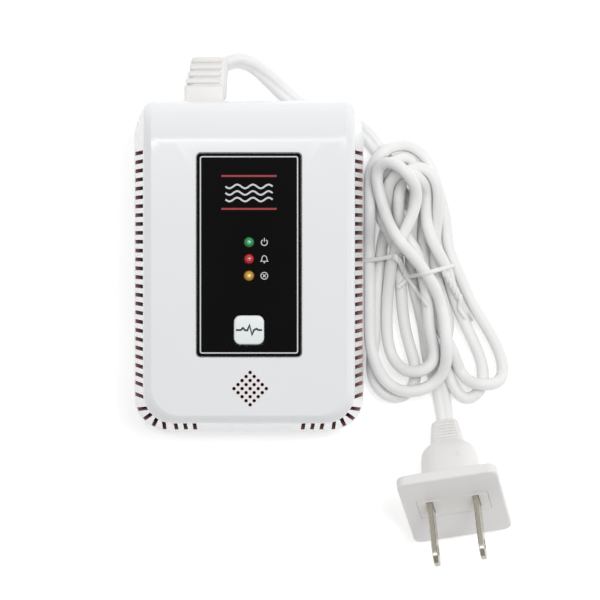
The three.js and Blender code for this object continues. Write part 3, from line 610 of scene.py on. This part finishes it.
def tie(name, x, y, turn, low, high, knot, tail):
    turn = math.radians(turn)
    across = np.array((math.cos(turn), math.sin(turn), 0))
    samples = np.vstack([np.c_[place + 2.05 * np.cos(a), z + 2.9 * np.sin(a)]
                         for a in [np.linspace(0, 2 * math.pi, 32, endpoint=False)]
                         for place, z in crossings(x, y, turn, low, high)])
    samples[:, 1] = np.maximum(samples[:, 1], 0.4)
    loop = hull(samples)
    loop = spaced(np.vstack([loop, loop[:1]]), 0.5)[:-1]
    for _ in range(3):
        loop = (np.roll(loop, 1, 0) + loop + np.roll(loop, -1, 0)) / 3
    line = np.array((x, y, 0)) + loop[:, :1] * across + loop[:, 1:] * np.array((0, 0, 1))
    tangent = np.roll(line, -1, 0) - np.roll(line, 1, 0)
    tangent /= np.linalg.norm(tangent, axis=1)[:, None]
    ahead = np.array((-math.sin(turn), math.cos(turn), 0))
    out = np.cross(tangent, ahead)
    profile = oval(*TIE_BAND, 10)
    rings = [line[i] + profile[:, :1] * ahead + profile[:, 1:] * out[i] for i in range(len(line))]
    band = loft(rings, closed=True)
    start = np.array((x, y)) + knot * across[:2]
    twist = spaced(spline([start] + [start + np.array(p) for p in tail["twist"]], 12), 0.4)
    centre = np.c_[twist, over_turns(twist, 1.1, 4)]
    heading = np.gradient(centre, axis=0)
    heading /= np.linalg.norm(heading, axis=1)[:, None]
    side = np.cross((0, 0, 1), heading)
    side /= np.linalg.norm(side, axis=1)[:, None]
    over = np.cross(heading, side)
    phase = along(centre) / TWIST_PITCH * 2 * math.pi
    strands = []
    for half in (0, math.pi):
        wire = centre + TWIST_RADIUS * (np.cos(phase + half)[:, None] * side
                                        + np.sin(phase + half)[:, None] * over)
        loose = [np.array(p) for p in tail["ends"][0 if half == 0 else 1]]
        last = twist[-1]
        free = spaced(spline([last] + [last + p for p in loose], 10), 0.4)[1:]
        lift = over_turns(free, 0.6, 2)
        blend = np.clip(np.arange(1, len(lift) + 1) / 5, 0, 1)
        lift = lift * blend + wire[-1, 2] * (1 - blend)
        wire = np.vstack([wire, np.c_[free, lift]])
        for _ in range(2):
            wire[1:-1] = (wire[:-2] + wire[1:-1] + wire[2:]) / 3
        strands.append(sweep(wire, oval(*TIE_WIRE, 10)))
    return piece(name, together(band, *strands), tie_white, angle=60)


tie_left = tie("tie_left", 38.6, 2.6, 10, -5.9, 5.6, 1.2, dict(
    twist=[(1.6, -1.3), (2.9, -3.6), (4.3, -6.2)],
    ends=([(-1.4, -1.2), (-2.9, -2.6)], [(2.2, -3.2), (5.2, -7.4)])))
tie_right = tie("tie_right", 50.4, -1.3, 14, -5.6, 5.9, 3.0, dict(
    twist=[(1.2, -1.9), (3.2, -5.2), (5.2, -8.6)],
    ends=([(1.2, -2.8), (3.4, -6.2)], [(-0.2, -2.4), (1.6, -5.2)])))

# ---------------------------------------------------------------- plug


def plug_ring(width, height, z, corner):
    return at(rounded(width, height, corner, steps=6), z)


rings = [plug_ring(w, h, z, r) for w, h, z, r in (
    (6.6, 4.6, 0, 1.6), (7.4, 5.1, 0.25, 1.9), (7.8, 5.4, 0.7, 2.0), (9.6, 6.9, 6.8, 2.5),
    (10.0, 7.2, 7.4, 2.7), (11.6, 8.0, 7.9, 3.2), (13.4, 9.0, 8.6, 3.8), (14.7, 9.8, 9.5, 4.3),
    (15.5, 10.4, 10.8, 4.7), (16.0, 10.8, 12.6, 5.0), (16.6, 11.3, 17.0, 5.2), (17.4, 12.2, 19.6, 5.6),
    (19.4, 14.2, 20.7, 6.0), (21.4, 16.6, 21.3, 6.2), (22.4, 18.0, 22.2, 6.2), (22.8, 18.4, 24.2, 6.2))]
plug = piece("plug", moved(loft(rings), plug_frame), plug_white)
for i in range(6):
    z = 1.35 + 1.02 * i
    half = 2.3 + 0.27 * i
    for side in (-1, 1):
        height = (5.4 + 1.5 * (z - 0.7) / 6.1) / 2
        groove = block(-half, half, height - 0.34, height + 1, z - 0.22, z + 0.22, 0.12, 2)
        turned = moved(groove, Matrix.Rotation(0 if side > 0 else math.pi, 4, "Z"))
        carve(plug, moved(turned, plug_frame))
FLANGE = (27.5, 33.8, 3.1)
face = softened(FLANGE[0], FLANGE[1], 2.6, PLUG_LENGTH - FLANGE[2], PLUG_LENGTH, 0.7, 0.6)
carve(plug, moved(face, plug_frame), "UNION")
pocket = plate(rounded(19.66, 10.66, 0.88, 0, BLADE_OFFSET), PLUG_LENGTH - 2.35, PLUG_LENGTH + 1)
carve(plug, moved(pocket, plug_frame))
for side in (-1, 1):
    socket = box(side * BLADE_SPACING / 2, BLADE_OFFSET, PLUG_LENGTH - 3.3, 1.9, 6.75, 6.6)
    carve(plug, moved(socket, plug_frame))
dimple = lathe([(0.8, 0), (0.8, 1.2)], 20)
carve(plug, moved(dimple, plug_frame @ Matrix.Translation((2.6, 5.2, 13.6))
                  @ Matrix.Rotation(-math.pi / 2, 4, "X")))

insert = piece("plug_face_insert", moved(plate(rounded(19.5, 10.5, 0.8, 0, BLADE_OFFSET), PLUG_LENGTH - 2.2,
                                               PLUG_LENGTH - 0.03), plug_frame), plug_white)
for side in (-1, 1):
    pad = softened(6.2, 7.6, 0.5, PLUG_LENGTH - 0.6, PLUG_LENGTH + 0.08, 0.05, 0.1, side * BLADE_SPACING / 2,
                   BLADE_OFFSET)
    carve(insert, moved(pad, plug_frame), "UNION")
for side in (-1, 1):
    carve(insert, moved(box(side * BLADE_SPACING / 2, BLADE_OFFSET, PLUG_LENGTH, 1.7, 6.55, 8), plug_frame))


def blade(side):
    half = BLADE_WIDTH / 2
    top = BLADE_REACH
    outline = [(-half, -6), (half, -6), (half, top - 3.0)]
    outline += [(half - 1.9 * (1 - math.cos(a)) - 0.4 * a, top - 3.0 + 3.0 * math.sin(a))
                for a in np.linspace(0.2, math.pi / 2, 6)]
    outline += [(-u, v) for u, v in reversed(outline[2:])]
    thick = BLADE_THICK
    rings = []
    for depth, inset in ((-thick / 2, 0.22), (-thick / 2 + 0.2, 0), (thick / 2 - 0.2, 0), (thick / 2, 0.22)):
        ring = np.array(outline)
        ring = ring * (1 - inset / half, 1 - inset / top)
        rings.append(np.c_[np.full(len(ring), depth), ring])
    points, faces = loft(rings)
    points = points + (side * BLADE_SPACING / 2, BLADE_OFFSET, PLUG_LENGTH)
    name = "blade_left" if side < 0 else "blade_right"
    obj = piece(name, moved((points, faces), plug_frame), blade_metal, angle=30)
    hole = moved(rod(0, 0, -3, 3, 1.5, 28), Matrix.Rotation(math.pi / 2, 4, "Y"))
    hole = (hole[0] + (side * BLADE_SPACING / 2, BLADE_OFFSET, PLUG_LENGTH + top - 4.2), hole[1])
    return carve(obj, moved(hole, plug_frame))


blade_left = blade(-1)
blade_right = blade(1)

# ---------------------------------------------------------------- case


def subdivide(outline, longest=2.5):
    out = []
    for a, b in zip(outline, np.roll(outline, -1, 0)):
        count = max(1, int(math.ceil(np.linalg.norm(b - a) / longest)))
        out += [a + (b - a) * i / count for i in range(count)]
    return np.array(out)


def cover_outline(offset):
    x, y, r = HALF_WIDTH - offset, HALF_HEIGHT - offset, CORNER_RADIUS - offset
    cut_x, cut_y = TOP_CUT[0] - offset * 0.7, TOP_CUT[1] - offset * 0.5
    points = [(x - r + r * math.cos(a), -y + r + r * math.sin(a)) for a in np.linspace(-math.pi / 2, 0, 14)]
    control = np.array(((x + cut_x) / 2 + TOP_CUT[2], (y + cut_y) / 2 + TOP_CUT[2] / 2))
    start, end = np.array((x, cut_y)), np.array((cut_x, y))
    points += [tuple((1 - t) ** 2 * start + 2 * t * (1 - t) * control + t * t * end)
               for t in np.linspace(0, 1, 14)]
    points += [(-u, v) for u, v in reversed(points)]
    return subdivide(np.array(points))


def rear_outline(offset):
    x, r = HALF_WIDTH - offset, CORNER_RADIUS - offset
    low = -HALF_HEIGHT + offset
    points = [(x - r + r * math.cos(a), low + r + r * math.sin(a)) for a in np.linspace(-math.pi / 2, 0, 10)]
    points += [(x, REAR_CUT[1] - offset * 0.4), (REAR_CUT[0] - offset * 0.5, REAR_TOP - offset)]
    points += [(-u, v) for u, v in reversed(points)]
    return np.array(points)


def inset(outline, amount):
    """Draws the sides and the lower end in; the upper end and its corner cuts keep their place."""
    x, y = outline.T
    limit = np.abs(x).max() - amount
    lower = y < 0
    return np.c_[np.where(lower, x * (limit / np.abs(x).max()), np.clip(x, -limit, limit)),
                 np.where(lower, y * (1 - amount / HALF_HEIGHT), y)]


def rolled(points, offset, base):
    """Bends the front down to the top end over a quarter roll, and keeps the base level."""
    front = DEPTH - offset
    radius = ROLL_RADIUS - offset
    start = HALF_HEIGHT - offset - radius
    over = np.clip(points[:, 1] - start, 0, radius)
    drop = radius - np.sqrt(np.maximum(radius ** 2 - over ** 2, 0))
    points = points.copy()
    points[:, 2] = base + (points[:, 2] - base) * (front - drop - base) / (front - base)
    return points


def cover_solid(offset, base, levels):
    outline = cover_outline(offset)
    rings = [at(inset(outline, amount), z) for z, amount in levels]
    top_z, top_inset = levels[-1]
    edge_ring = inset(outline, top_inset)
    reach = HALF_HEIGHT - offset
    radius = ROLL_RADIUS - offset
    for t in np.linspace(0, 1, 22)[1:]:
        y = reach - radius + radius * math.cos(t * math.pi / 2)
        rings.append(at(edge_ring * (y / reach), top_z))
    rings.append(at(edge_ring * 0.02, top_z))
    return rolled(np.vstack(rings), offset, base), loft(rings)[1]


def wall_inset(z):
    return DRAFT * (z - COVER_Z) / (SHOULDER_Z - COVER_Z)


outer = [(COVER_Z, 0.12), (COVER_Z + 0.25, 0.0)]
outer += [(z, wall_inset(z)) for z in (16, 21, 26)]
ROUND_END = math.radians(68)
outer += [(SHOULDER_Z + (DEPTH - SHOULDER_Z) * math.sin(a) / math.sin(ROUND_END),
           DRAFT + EDGE_INSET * (1 - math.cos(a)) / (1 - math.cos(ROUND_END)))
          for a in np.linspace(0, ROUND_END, 9)]
inner = [(COVER_Z + WALL, wall_inset(COVER_Z + WALL)), (SHOULDER_Z - 1, wall_inset(SHOULDER_Z - 1)),
         (DEPTH - WALL, DRAFT + 1.4)]
cover = piece("front_cover_shell", cover_solid(0, COVER_Z, outer), case_white)
# The inner faces of the hollow and of the rear opening take the painted shade colour.
carve(cover, cover_solid(WALL, COVER_Z + WALL, inner), material=recess_painted_shade)
carve(cover, plate(rear_outline(WALL), COVER_Z - 1, COVER_Z + WALL + 0.5), material=recess_painted_shade)

SLOT = dict(width=1.05, first=30.9, pitch=2.41, count=27, extra=-34.9, low=13.6, high=30.6)


def vent_slots():
    middle = (SLOT["low"] + SLOT["high"]) / 2
    depth = SLOT["high"] - SLOT["low"]
    rows = [SLOT["first"] - i * SLOT["pitch"] for i in range(SLOT["count"])] + [SLOT["extra"]]
    tools = []
    for side in (-1, 1):
        tools += [box(side * 30, y, middle, 9, SLOT["width"], depth) for y in rows]
        for degrees in (21.5, 43, 64, 86):
            angle = -math.radians(degrees)
            slot = box(7.9, 0, middle, 7, SLOT["width"], depth)
            slot = moved(slot, Matrix.Rotation(angle if side > 0 else math.pi - angle, 4, "Z"))
            corner = Matrix.Translation((side * (HALF_WIDTH - CORNER_RADIUS), CORNER_RADIUS - HALF_HEIGHT, 0))
            tools.append(moved(slot, corner))
        tools += [box(side * x, -43, middle, SLOT["width"], 7, depth) for x in (14.7, 17.25, 19.8)]
    return together(*tools)


def clearance(part):
    """Outline of the opening around a rounded part."""
    return rounded(part["width"] + 2 * GAP, part["height"] + 2 * GAP, part["radius"] + GAP, 0, part["y"])


# The walls of the vent slots take the painted shade colour.
carve(cover, vent_slots(), material=recess_painted_shade)
holes = []
grille_lip = GRILLE["radius"] + 0.14
for i in range(-GRILLE["half"], GRILLE["half"] + 1):
    for j in range(-GRILLE["half"], GRILLE["half"] + 1):
        x = GRILLE["x"] + (i - j) * GRILLE["step"]
        y = GRILLE["y"] + (i + j) * GRILLE["step"]
        points, faces = lathe([(GRILLE["radius"], DEPTH - 2 * WALL), (GRILLE["radius"], DEPTH - 0.12),
                               (grille_lip, DEPTH + 0.02), (grille_lip, DEPTH + 1)], 12)
        holes.append((points + (x, y, 0), faces))
lamp_holes = [rod(0, y, DEPTH - 2 * WALL, DEPTH + 1, LED_RADIUS + GAP, 28) for _, y in LEDS]
button_hole = plate(clearance(BUTTON), DEPTH - 2 * WALL, DEPTH + 1)
# The walls of the grille holes take the painted shade colour.
carve(cover, together(*holes), material=recess_painted_shade)
carve(cover, together(button_hole, *lamp_holes))
carve(cover, plate(clearance(PANEL), DEPTH - 0.95, DEPTH + 1))
bosses = [(-25.4, 15.2), (25.4, 15.2), (-25.4, -25.7), (25.4, -25.7)]
for x, y in bosses:
    carve(cover, rod(x, y, COVER_Z + GAP, DEPTH - WALL + 0.3, 3), "UNION")
carve(cover, together(*[rod(x, y, COVER_Z - 1, COVER_Z + 11, 1.6, 16) for x, y in bosses]))
smooth(cover, 18)

# ---------------------------------------------------------------- rear housing

base = rear_outline(0)
REAR_EDGE = 0.9
rear_rings = [at(inset(base, REAR_EDGE * (1 - math.sin(a))), REAR_EDGE * (1 - math.cos(a)))
              for a in np.linspace(0, math.pi / 2, 6)]
rear_rings += [at(base, REAR_DEPTH - 0.3), at(inset(base, 0.25), REAR_DEPTH)]
rear = piece("rear_tray", loft(rear_rings), case_white)
carve(rear, plate(rear_outline(WALL), WALL, REAR_DEPTH + 1))
for x, y in bosses:
    carve(rear, rod(x, y, 0.5, REAR_DEPTH, 3.6), "UNION")
for x, y in ((-18, 16.6), (18, 27.5), (-18, -36.5), (18, -36.5)):
    carve(rear, rod(x, y, 1, REAR_DEPTH, 2.8), "UNION")
    carve(rear, rod(x, y, 6, REAR_DEPTH + 1, 1.3, 16))
carve(rear, together(*[rod(x, y, -1, 7.2, 2.9) for x, y in bosses]))
carve(rear, together(*[rod(x, y, 6.9, REAR_DEPTH + 1, 1.8, 16) for x, y in bosses]))
for y in (22, -22):
    carve(rear, rod(0, y, -1, WALL + 1, 3.6, 36))
    carve(rear, box(0, y + 3.5, 1, 3.8, 7, WALL + 2))
    carve(rear, rod(0, y + 7, -1, WALL + 1, 1.9))
carve(rear, box(GLAND_X, REAR_TOP - 1, 5.9, 8.2, 6, 6.2))
carve(rear, together(*[softened(12, 1.2, 0.59, -1, WALL + 1, 0.1, 0.1, side * 14, row * 3.2 - 5, 2)
                       for side in (-1, 1) for row in range(-2, 3)]))

# ---------------------------------------------------------------- panel, lamps and button

panel = piece("indicator_panel", softened(
    PANEL["width"], PANEL["height"], PANEL["radius"], PANEL_TOP - PANEL["thickness"], PANEL_TOP, 0.03, 0.12,
    0, PANEL["y"]), panel_black)
carve(panel, together(
    plate(clearance(BUTTON), DEPTH - 2, DEPTH + 2),
    *[rod(0, y, DEPTH - 2, DEPTH + 2, LED_RADIUS + 0.12, 32) for _, y in LEDS]))
smooth(panel, 8)


def lamp_material(name, centre, middle, shaded_rim, y):
    """Tinted lens: paler in the middle, with a darker rim that is painted shade at the edge of the dome."""
    material = shader(name, middle, 0.08, coat=0.5, shift=0.05, bump=0.02)
    tree = material.node_tree
    principled = tree.nodes["Principled BSDF"]
    principled.inputs["Transmission Weight"].default_value = 0.15
    place = tree.nodes.new("ShaderNodeTexCoord")
    shift = tree.nodes.new("ShaderNodeMapping")
    shift.inputs["Location"].default_value = (0, -y * MM, 0)
    flat = tree.nodes.new("ShaderNodeMapping")
    flat.inputs["Scale"].default_value = (1 / (LED_RADIUS * MM), 1 / (LED_RADIUS * MM), 0)
    length = tree.nodes.new("ShaderNodeVectorMath")
    length.operation = "LENGTH"
    ramp = tree.nodes.new("ShaderNodeValToRGB")
    stops = ((0.0, centre), (0.28, centre), (0.4, middle), (0.78, middle), (0.98, shaded_rim))
    ramp.color_ramp.elements[0].color = (*stops[0][1], 1)
    ramp.color_ramp.elements[1].position = stops[-1][0]
    ramp.color_ramp.elements[1].color = (*stops[-1][1], 1)
    for position, colour in stops[1:-1]:
        element = ramp.color_ramp.elements.new(position)
        element.color = (*colour, 1)
    tree.links.new(place.outputs["Object"], shift.inputs["Vector"])
    tree.links.new(shift.outputs["Vector"], flat.inputs["Vector"])
    tree.links.new(flat.outputs["Vector"], length.inputs[0])
    tree.links.new(length.outputs["Value"], ramp.inputs["Fac"])
    tree.links.new(ramp.outputs["Color"], principled.inputs["Base Color"])
    return material


# Lens colours for the middle, the body and the rim; the darker rim colour is painted shade.
LAMP_COLOURS = {
    "led_power": (srgb(120, 200, 160), srgb(30, 150, 80), srgb(60, 110, 60)),
    "led_alarm": (srgb(200, 110, 110), srgb(196, 24, 36), srgb(140, 10, 22)),
    "led_fault": (srgb(240, 225, 120), srgb(206, 150, 50), srgb(160, 74, 42)),
}
lamps = []
for name, y in LEDS:
    flange = DEPTH - 2 * WALL - 1.2
    dome_start = DEPTH - 0.7
    profile = [(1.9, flange), (1.9, flange + 0.8), (1.85, flange + 0.9), (LED_RADIUS, flange + 0.9),
               (LED_RADIUS, dome_start)]
    profile += [(LED_RADIUS * math.cos(a), dome_start + 1.25 * math.sin(a))
                for a in np.linspace(0.15, 1.5, 9)]
    lens = lathe(profile, 40)
    legs = [block(x - 0.25, x + 0.25, -0.25, 0.25, 13.5, flange + 0.3, 0.05, 2) for x in (-1.27, 1.27)]
    material = lamp_material(name, *LAMP_COLOURS[name], y)
    lamp = piece(f"lamp_{name[4:]}", (lens[0] + (0, y, 0), lens[1]), material)
    for leg in legs:
        carve(lamp, (leg[0] + (0, y, 0), leg[1]), "UNION", steel)
    lamps.append((lamp, name))

cap_low = BUTTON["top"] - BUTTON["cap"]
button = piece("button_cap", softened(BUTTON["width"], BUTTON["height"], BUTTON["radius"], cap_low,
                                      BUTTON["top"], 0.2, 0.55, 0, BUTTON["y"], steps=7), button_white)
carve(button, rod(0, BUTTON["y"], 23.6, cap_low + 0.5, 1.8), "UNION")

# ---------------------------------------------------------------- printed marks


def stroke(points, width, low, high, closed=False):
    """A printed line of even width along a polyline."""
    p = np.asarray(points, float)
    if closed:
        ahead, behind = np.roll(p, -1, 0) - p, p - np.roll(p, 1, 0)
    else:
        ahead = np.vstack([np.diff(p, axis=0), p[-1:] - p[-2:-1]])
        behind = np.vstack([p[1:2] - p[:1], np.diff(p, axis=0)])
    ahead = ahead / np.linalg.norm(ahead, axis=1)[:, None]
    behind = behind / np.linalg.norm(behind, axis=1)[:, None]
    normal = np.c_[-ahead[:, 1] - behind[:, 1], ahead[:, 0] + behind[:, 0]]
    normal /= np.linalg.norm(normal, axis=1)[:, None]
    reach = width / 2 / np.maximum(np.abs((normal * np.c_[-ahead[:, 1], ahead[:, 0]]).sum(1)), 0.5)[:, None]
    left, inner_side = p + normal * reach, p - normal * reach
    rings = [np.array([(*left[i], high), (*inner_side[i], high), (*inner_side[i], low), (*left[i], low)])
             for i in range(len(p))]
    return loft(rings, closed=closed)


def curve(x, y, radius, start, end, count=18):
    angles = np.radians(np.linspace(start, end, count))
    return np.c_[x + radius * np.cos(angles), y + radius * np.sin(angles)]


INK = 0.02
low, high = PANEL_TOP - 0.05, PANEL_TOP + INK
border_line = rounded(PANEL["width"] - 1.9, PANEL["height"] - 1.9, 0.5, 0, PANEL["y"], 4)
border = piece("panel_border", stroke(border_line, 0.34, low, high, closed=True), print_white)

waves = []
for row in range(3):
    y = 21.6 - 1.75 * row
    x = np.linspace(-6.3, 6.3, 60)
    waves.append(stroke(np.c_[x, y + 0.5 * np.sin(x / 12.6 * 6 * math.pi)], 0.46, low, high))
symbol = piece("panel_symbol", together(*waves), print_white)
rule = piece("panel_rule", together(stroke([(-7.4, 24.4), (7.4, 24.4)], 0.5, low, high),
                                    stroke([(-7.4, 15.6), (7.4, 15.6)], 0.5, low, high)), print_red)

ICON_X = 4.1
y = LEDS[0][1]
power_icon = [stroke(curve(ICON_X, y - 0.08, 0.82, 125, 415), 0.24, low, high),
              stroke([(ICON_X, y + 0.1), (ICON_X, y + 1.1)], 0.24, low, high)]
y = LEDS[1][1]
bell = [(-0.95, -0.62), (-0.72, -0.3), (-0.66, 0.2), (-0.5, 0.62), (-0.2, 0.86), (0.2, 0.86), (0.5, 0.62),
        (0.66, 0.2), (0.72, -0.3), (0.95, -0.62)]
bell_icon = [stroke([(ICON_X + u, y + v) for u, v in bell], 0.22, low, high, closed=True),
             plate(circle(ICON_X, y - 0.95, 0.2, 14), low, high)]
y = LEDS[2][1]
fault_icon = [stroke(curve(ICON_X, y, 0.92, 0, 345, 24), 0.22, low, high, closed=True),
              stroke([(ICON_X - 0.4, y - 0.4), (ICON_X + 0.4, y + 0.4)], 0.22, low, high),
              stroke([(ICON_X - 0.4, y + 0.4), (ICON_X + 0.4, y - 0.4)], 0.22, low, high + 0.004)]
icons = piece("lamp_icons", together(*power_icon, *bell_icon, *fault_icon), print_white)

pulse = [(-3.5, 0), (-2.2, 0), (-1.6, 0.55), (-1.0, -0.1), (-0.45, -0.1), (0.15, 1.25), (0.8, -1.25),
         (1.3, 0), (2.0, 0.35), (2.5, 0), (3.5, 0)]
pulse = [(u, BUTTON["y"] + v) for u, v in pulse]
button_mark = piece("button_mark", stroke(pulse, 0.52, BUTTON["top"] - 0.06, BUTTON["top"] + INK), print_dark)

# ---------------------------------------------------------------- parts inside the case

inside = {
    "board": shader("board_mask", srgb(28, 78, 44), 0.4, coat=0.3, shift=0.3, bump=0.3),
    "laminations": shader("laminations", srgb(120, 118, 116), 0.42, metallic=0.8, shift=0.25,
                          streaks=(1, 1, 14)),
    "tape": shader("winding_tape", srgb(214, 176, 62), 0.35, shift=0.12, bump=0.3, streaks=(1, 1, 6)),
    "glass": shader("fuse_glass", srgb(216, 224, 224), 0.06, metallic=0.2, shift=0.1),
    "black": shader("black_plastic", srgb(30, 30, 32), 0.48, shift=0.15, bump=0.3),
    "green": shader("terminal_green", srgb(48, 132, 76), 0.42, shift=0.1),
    "brown": shader("wire_brown", srgb(104, 58, 32), 0.45, shift=0.1),
    "blue": shader("wire_blue", srgb(44, 80, 152), 0.45, shift=0.1),
    "sensor": shader("sensor_base", srgb(104, 32, 26), 0.5, shift=0.15),
    "mesh": shader("sensor_mesh", srgb(170, 171, 172), 0.34, metallic=1.0, shift=0.3, bump=0.6,
                   bump_scale=1600),
    "ceramic": shader("ceramic", srgb(232, 228, 218), 0.6, shift=0.05, bump=0.4),
    "trimmer": shader("trimmer_blue", srgb(38, 88, 166), 0.4, shift=0.1),
    "steel": steel,
}
LOOKS = {
    "main_board": "board", "transformer_core": "laminations", "transformer_winding": "tape", "fuse": "glass",
    "fuse_clip_upper": "steel", "fuse_clip_lower": "steel", "filter_capacitor": "black",
    "output_capacitor": "black", "terminal_block": "green", "live_wire": "brown", "neutral_wire": "blue",
    "voltage_regulator": "black", "microcontroller": "black", "gas_sensor_base": "sensor",
    "gas_sensor_cap": "mesh", "gas_sensor_element": "ceramic", "buzzer": "black", "trimmer": "trimmer",
    "switch_plunger": "black", "tact_switch": "black",
}
for i in range(1, 5):
    LOOKS[f"case_screw_{i}"] = "steel"
    LOOKS[f"board_screw_{i}"] = "steel"
for node, look in LOOKS.items():
    obj = nodes[node]
    obj.data.materials.clear()
    obj.data.materials.append(inside[look])

# ---------------------------------------------------------------- bodies, replaced nodes and the lead

for obj, node, slot in (
        (cover, "front_cover", "case_white"), (rear, "rear_housing", "case_white"),
        (panel, "label_panel", "panel_black"), (gland, "cord_gland", "plug_white"),
        (tie_left, "twist_tie_left", "tie_white"), (tie_right, "twist_tie_right", "tie_white"),
        (plug, "plug_body", "plug_white"), (insert, "plug_insert", "insert_grey"),
        (blade_left, "plug_blade_left", "blade_metal"), (blade_right, "plug_blade_right", "blade_metal")):
    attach(obj, "case")
    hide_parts(node)
for (lamp, node), slot in zip(lamps, ("lens_green", "lens_red", "lens_amber")):
    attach(lamp, "case")
    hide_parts(node)
for obj, slot in ((border, "print_white"), (symbol, "print_white"), (rule, "print_red"),
                  (icons, "print_white")):
    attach(obj, "case")
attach(button, "button")
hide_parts("test_button")
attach(button_mark, "button")

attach(cord, "case")
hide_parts("cord_lead", "cord_hank", "cord_tail")

# ---------------------------------------------------------------- floor and light

floor_mesh = bpy.data.meshes.new("floor")
# Metres: just below the back of the case, so that the two never share a plane.
FLOOR_Z = -0.00005
floor_mesh.from_pydata([(x, y, FLOOR_Z) for x, y in ((-3, -3), (3, -3), (3, 3), (-3, 3))], [], [(0, 1, 2, 3)])
floor = bpy.data.objects.new("floor", floor_mesh)
bpy.context.scene.collection.objects.link(floor)
floor_paper = shader("floor_paper", srgb(252, 252, 252), 0.9, shift=0.003)
floor_paper.node_tree.nodes["Principled BSDF"].inputs["Emission Color"].default_value = (1, 1, 1, 1)
floor_paper.node_tree.nodes["Principled BSDF"].inputs["Emission Strength"].default_value = 0.3
floor_mesh.materials.append(floor_paper)

world = bpy.data.worlds.new("studio")
world.use_nodes = True
sky = world.node_tree
background = sky.nodes["Background"]
background.inputs["Strength"].default_value = 0.88
direction = sky.nodes.new("ShaderNodeTexCoord")
split = sky.nodes.new("ShaderNodeSeparateXYZ")
sky.links.new(direction.outputs["Generated"], split.inputs["Vector"])
overhead = sky.nodes.new("ShaderNodeValToRGB")
for element, position, level in zip(overhead.color_ramp.elements, (0.90, 0.98), (1.0, 0.15)):
    element.position = position
    element.color = (level, level, level, 1)
sky.links.new(split.outputs["Z"], overhead.inputs["Fac"])
level = overhead.outputs["Color"]
for axis, start, end, low, high in (("Y", -0.8, 0.5, 0.50, 0.92), ("X", -0.8, 0.8, 0.80, 1.04)):
    side = sky.nodes.new("ShaderNodeMapRange")
    side.inputs["From Min"].default_value = start
    side.inputs["From Max"].default_value = end
    side.inputs["To Min"].default_value = low
    side.inputs["To Max"].default_value = high
    mix = sky.nodes.new("ShaderNodeMath")
    mix.operation = "MULTIPLY"
    sky.links.new(split.outputs[axis], side.inputs["Value"])
    sky.links.new(level, mix.inputs[0])
    sky.links.new(side.outputs["Result"], mix.inputs[1])
    level = mix.outputs["Value"]
sky.links.new(level, background.inputs["Color"])
bpy.context.scene.world = world
bpy.context.scene.view_settings.view_transform = "Standard"


def area_light(name, place, target, width, height, power):
    data = bpy.data.lights.new(name, "AREA")
    data.shape = "RECTANGLE"
    data.size = width
    data.size_y = height
    data.energy = power
    light = bpy.data.objects.new(name, data)
    light.location = place
    light.rotation_euler = (Vector(target) - Vector(place)).to_track_quat("-Z", "Y").to_euler()
    bpy.context.scene.collection.objects.link(light)


area_light("strip", (-0.17, 0.17, 1.15), (-0.17, 0.02, 0), 0.42, 0.07, 1.6)
area_light("softbox", (0.33, 0.22, 1.1), (0, 0, 0), 0.4, 0.4, 4.1)
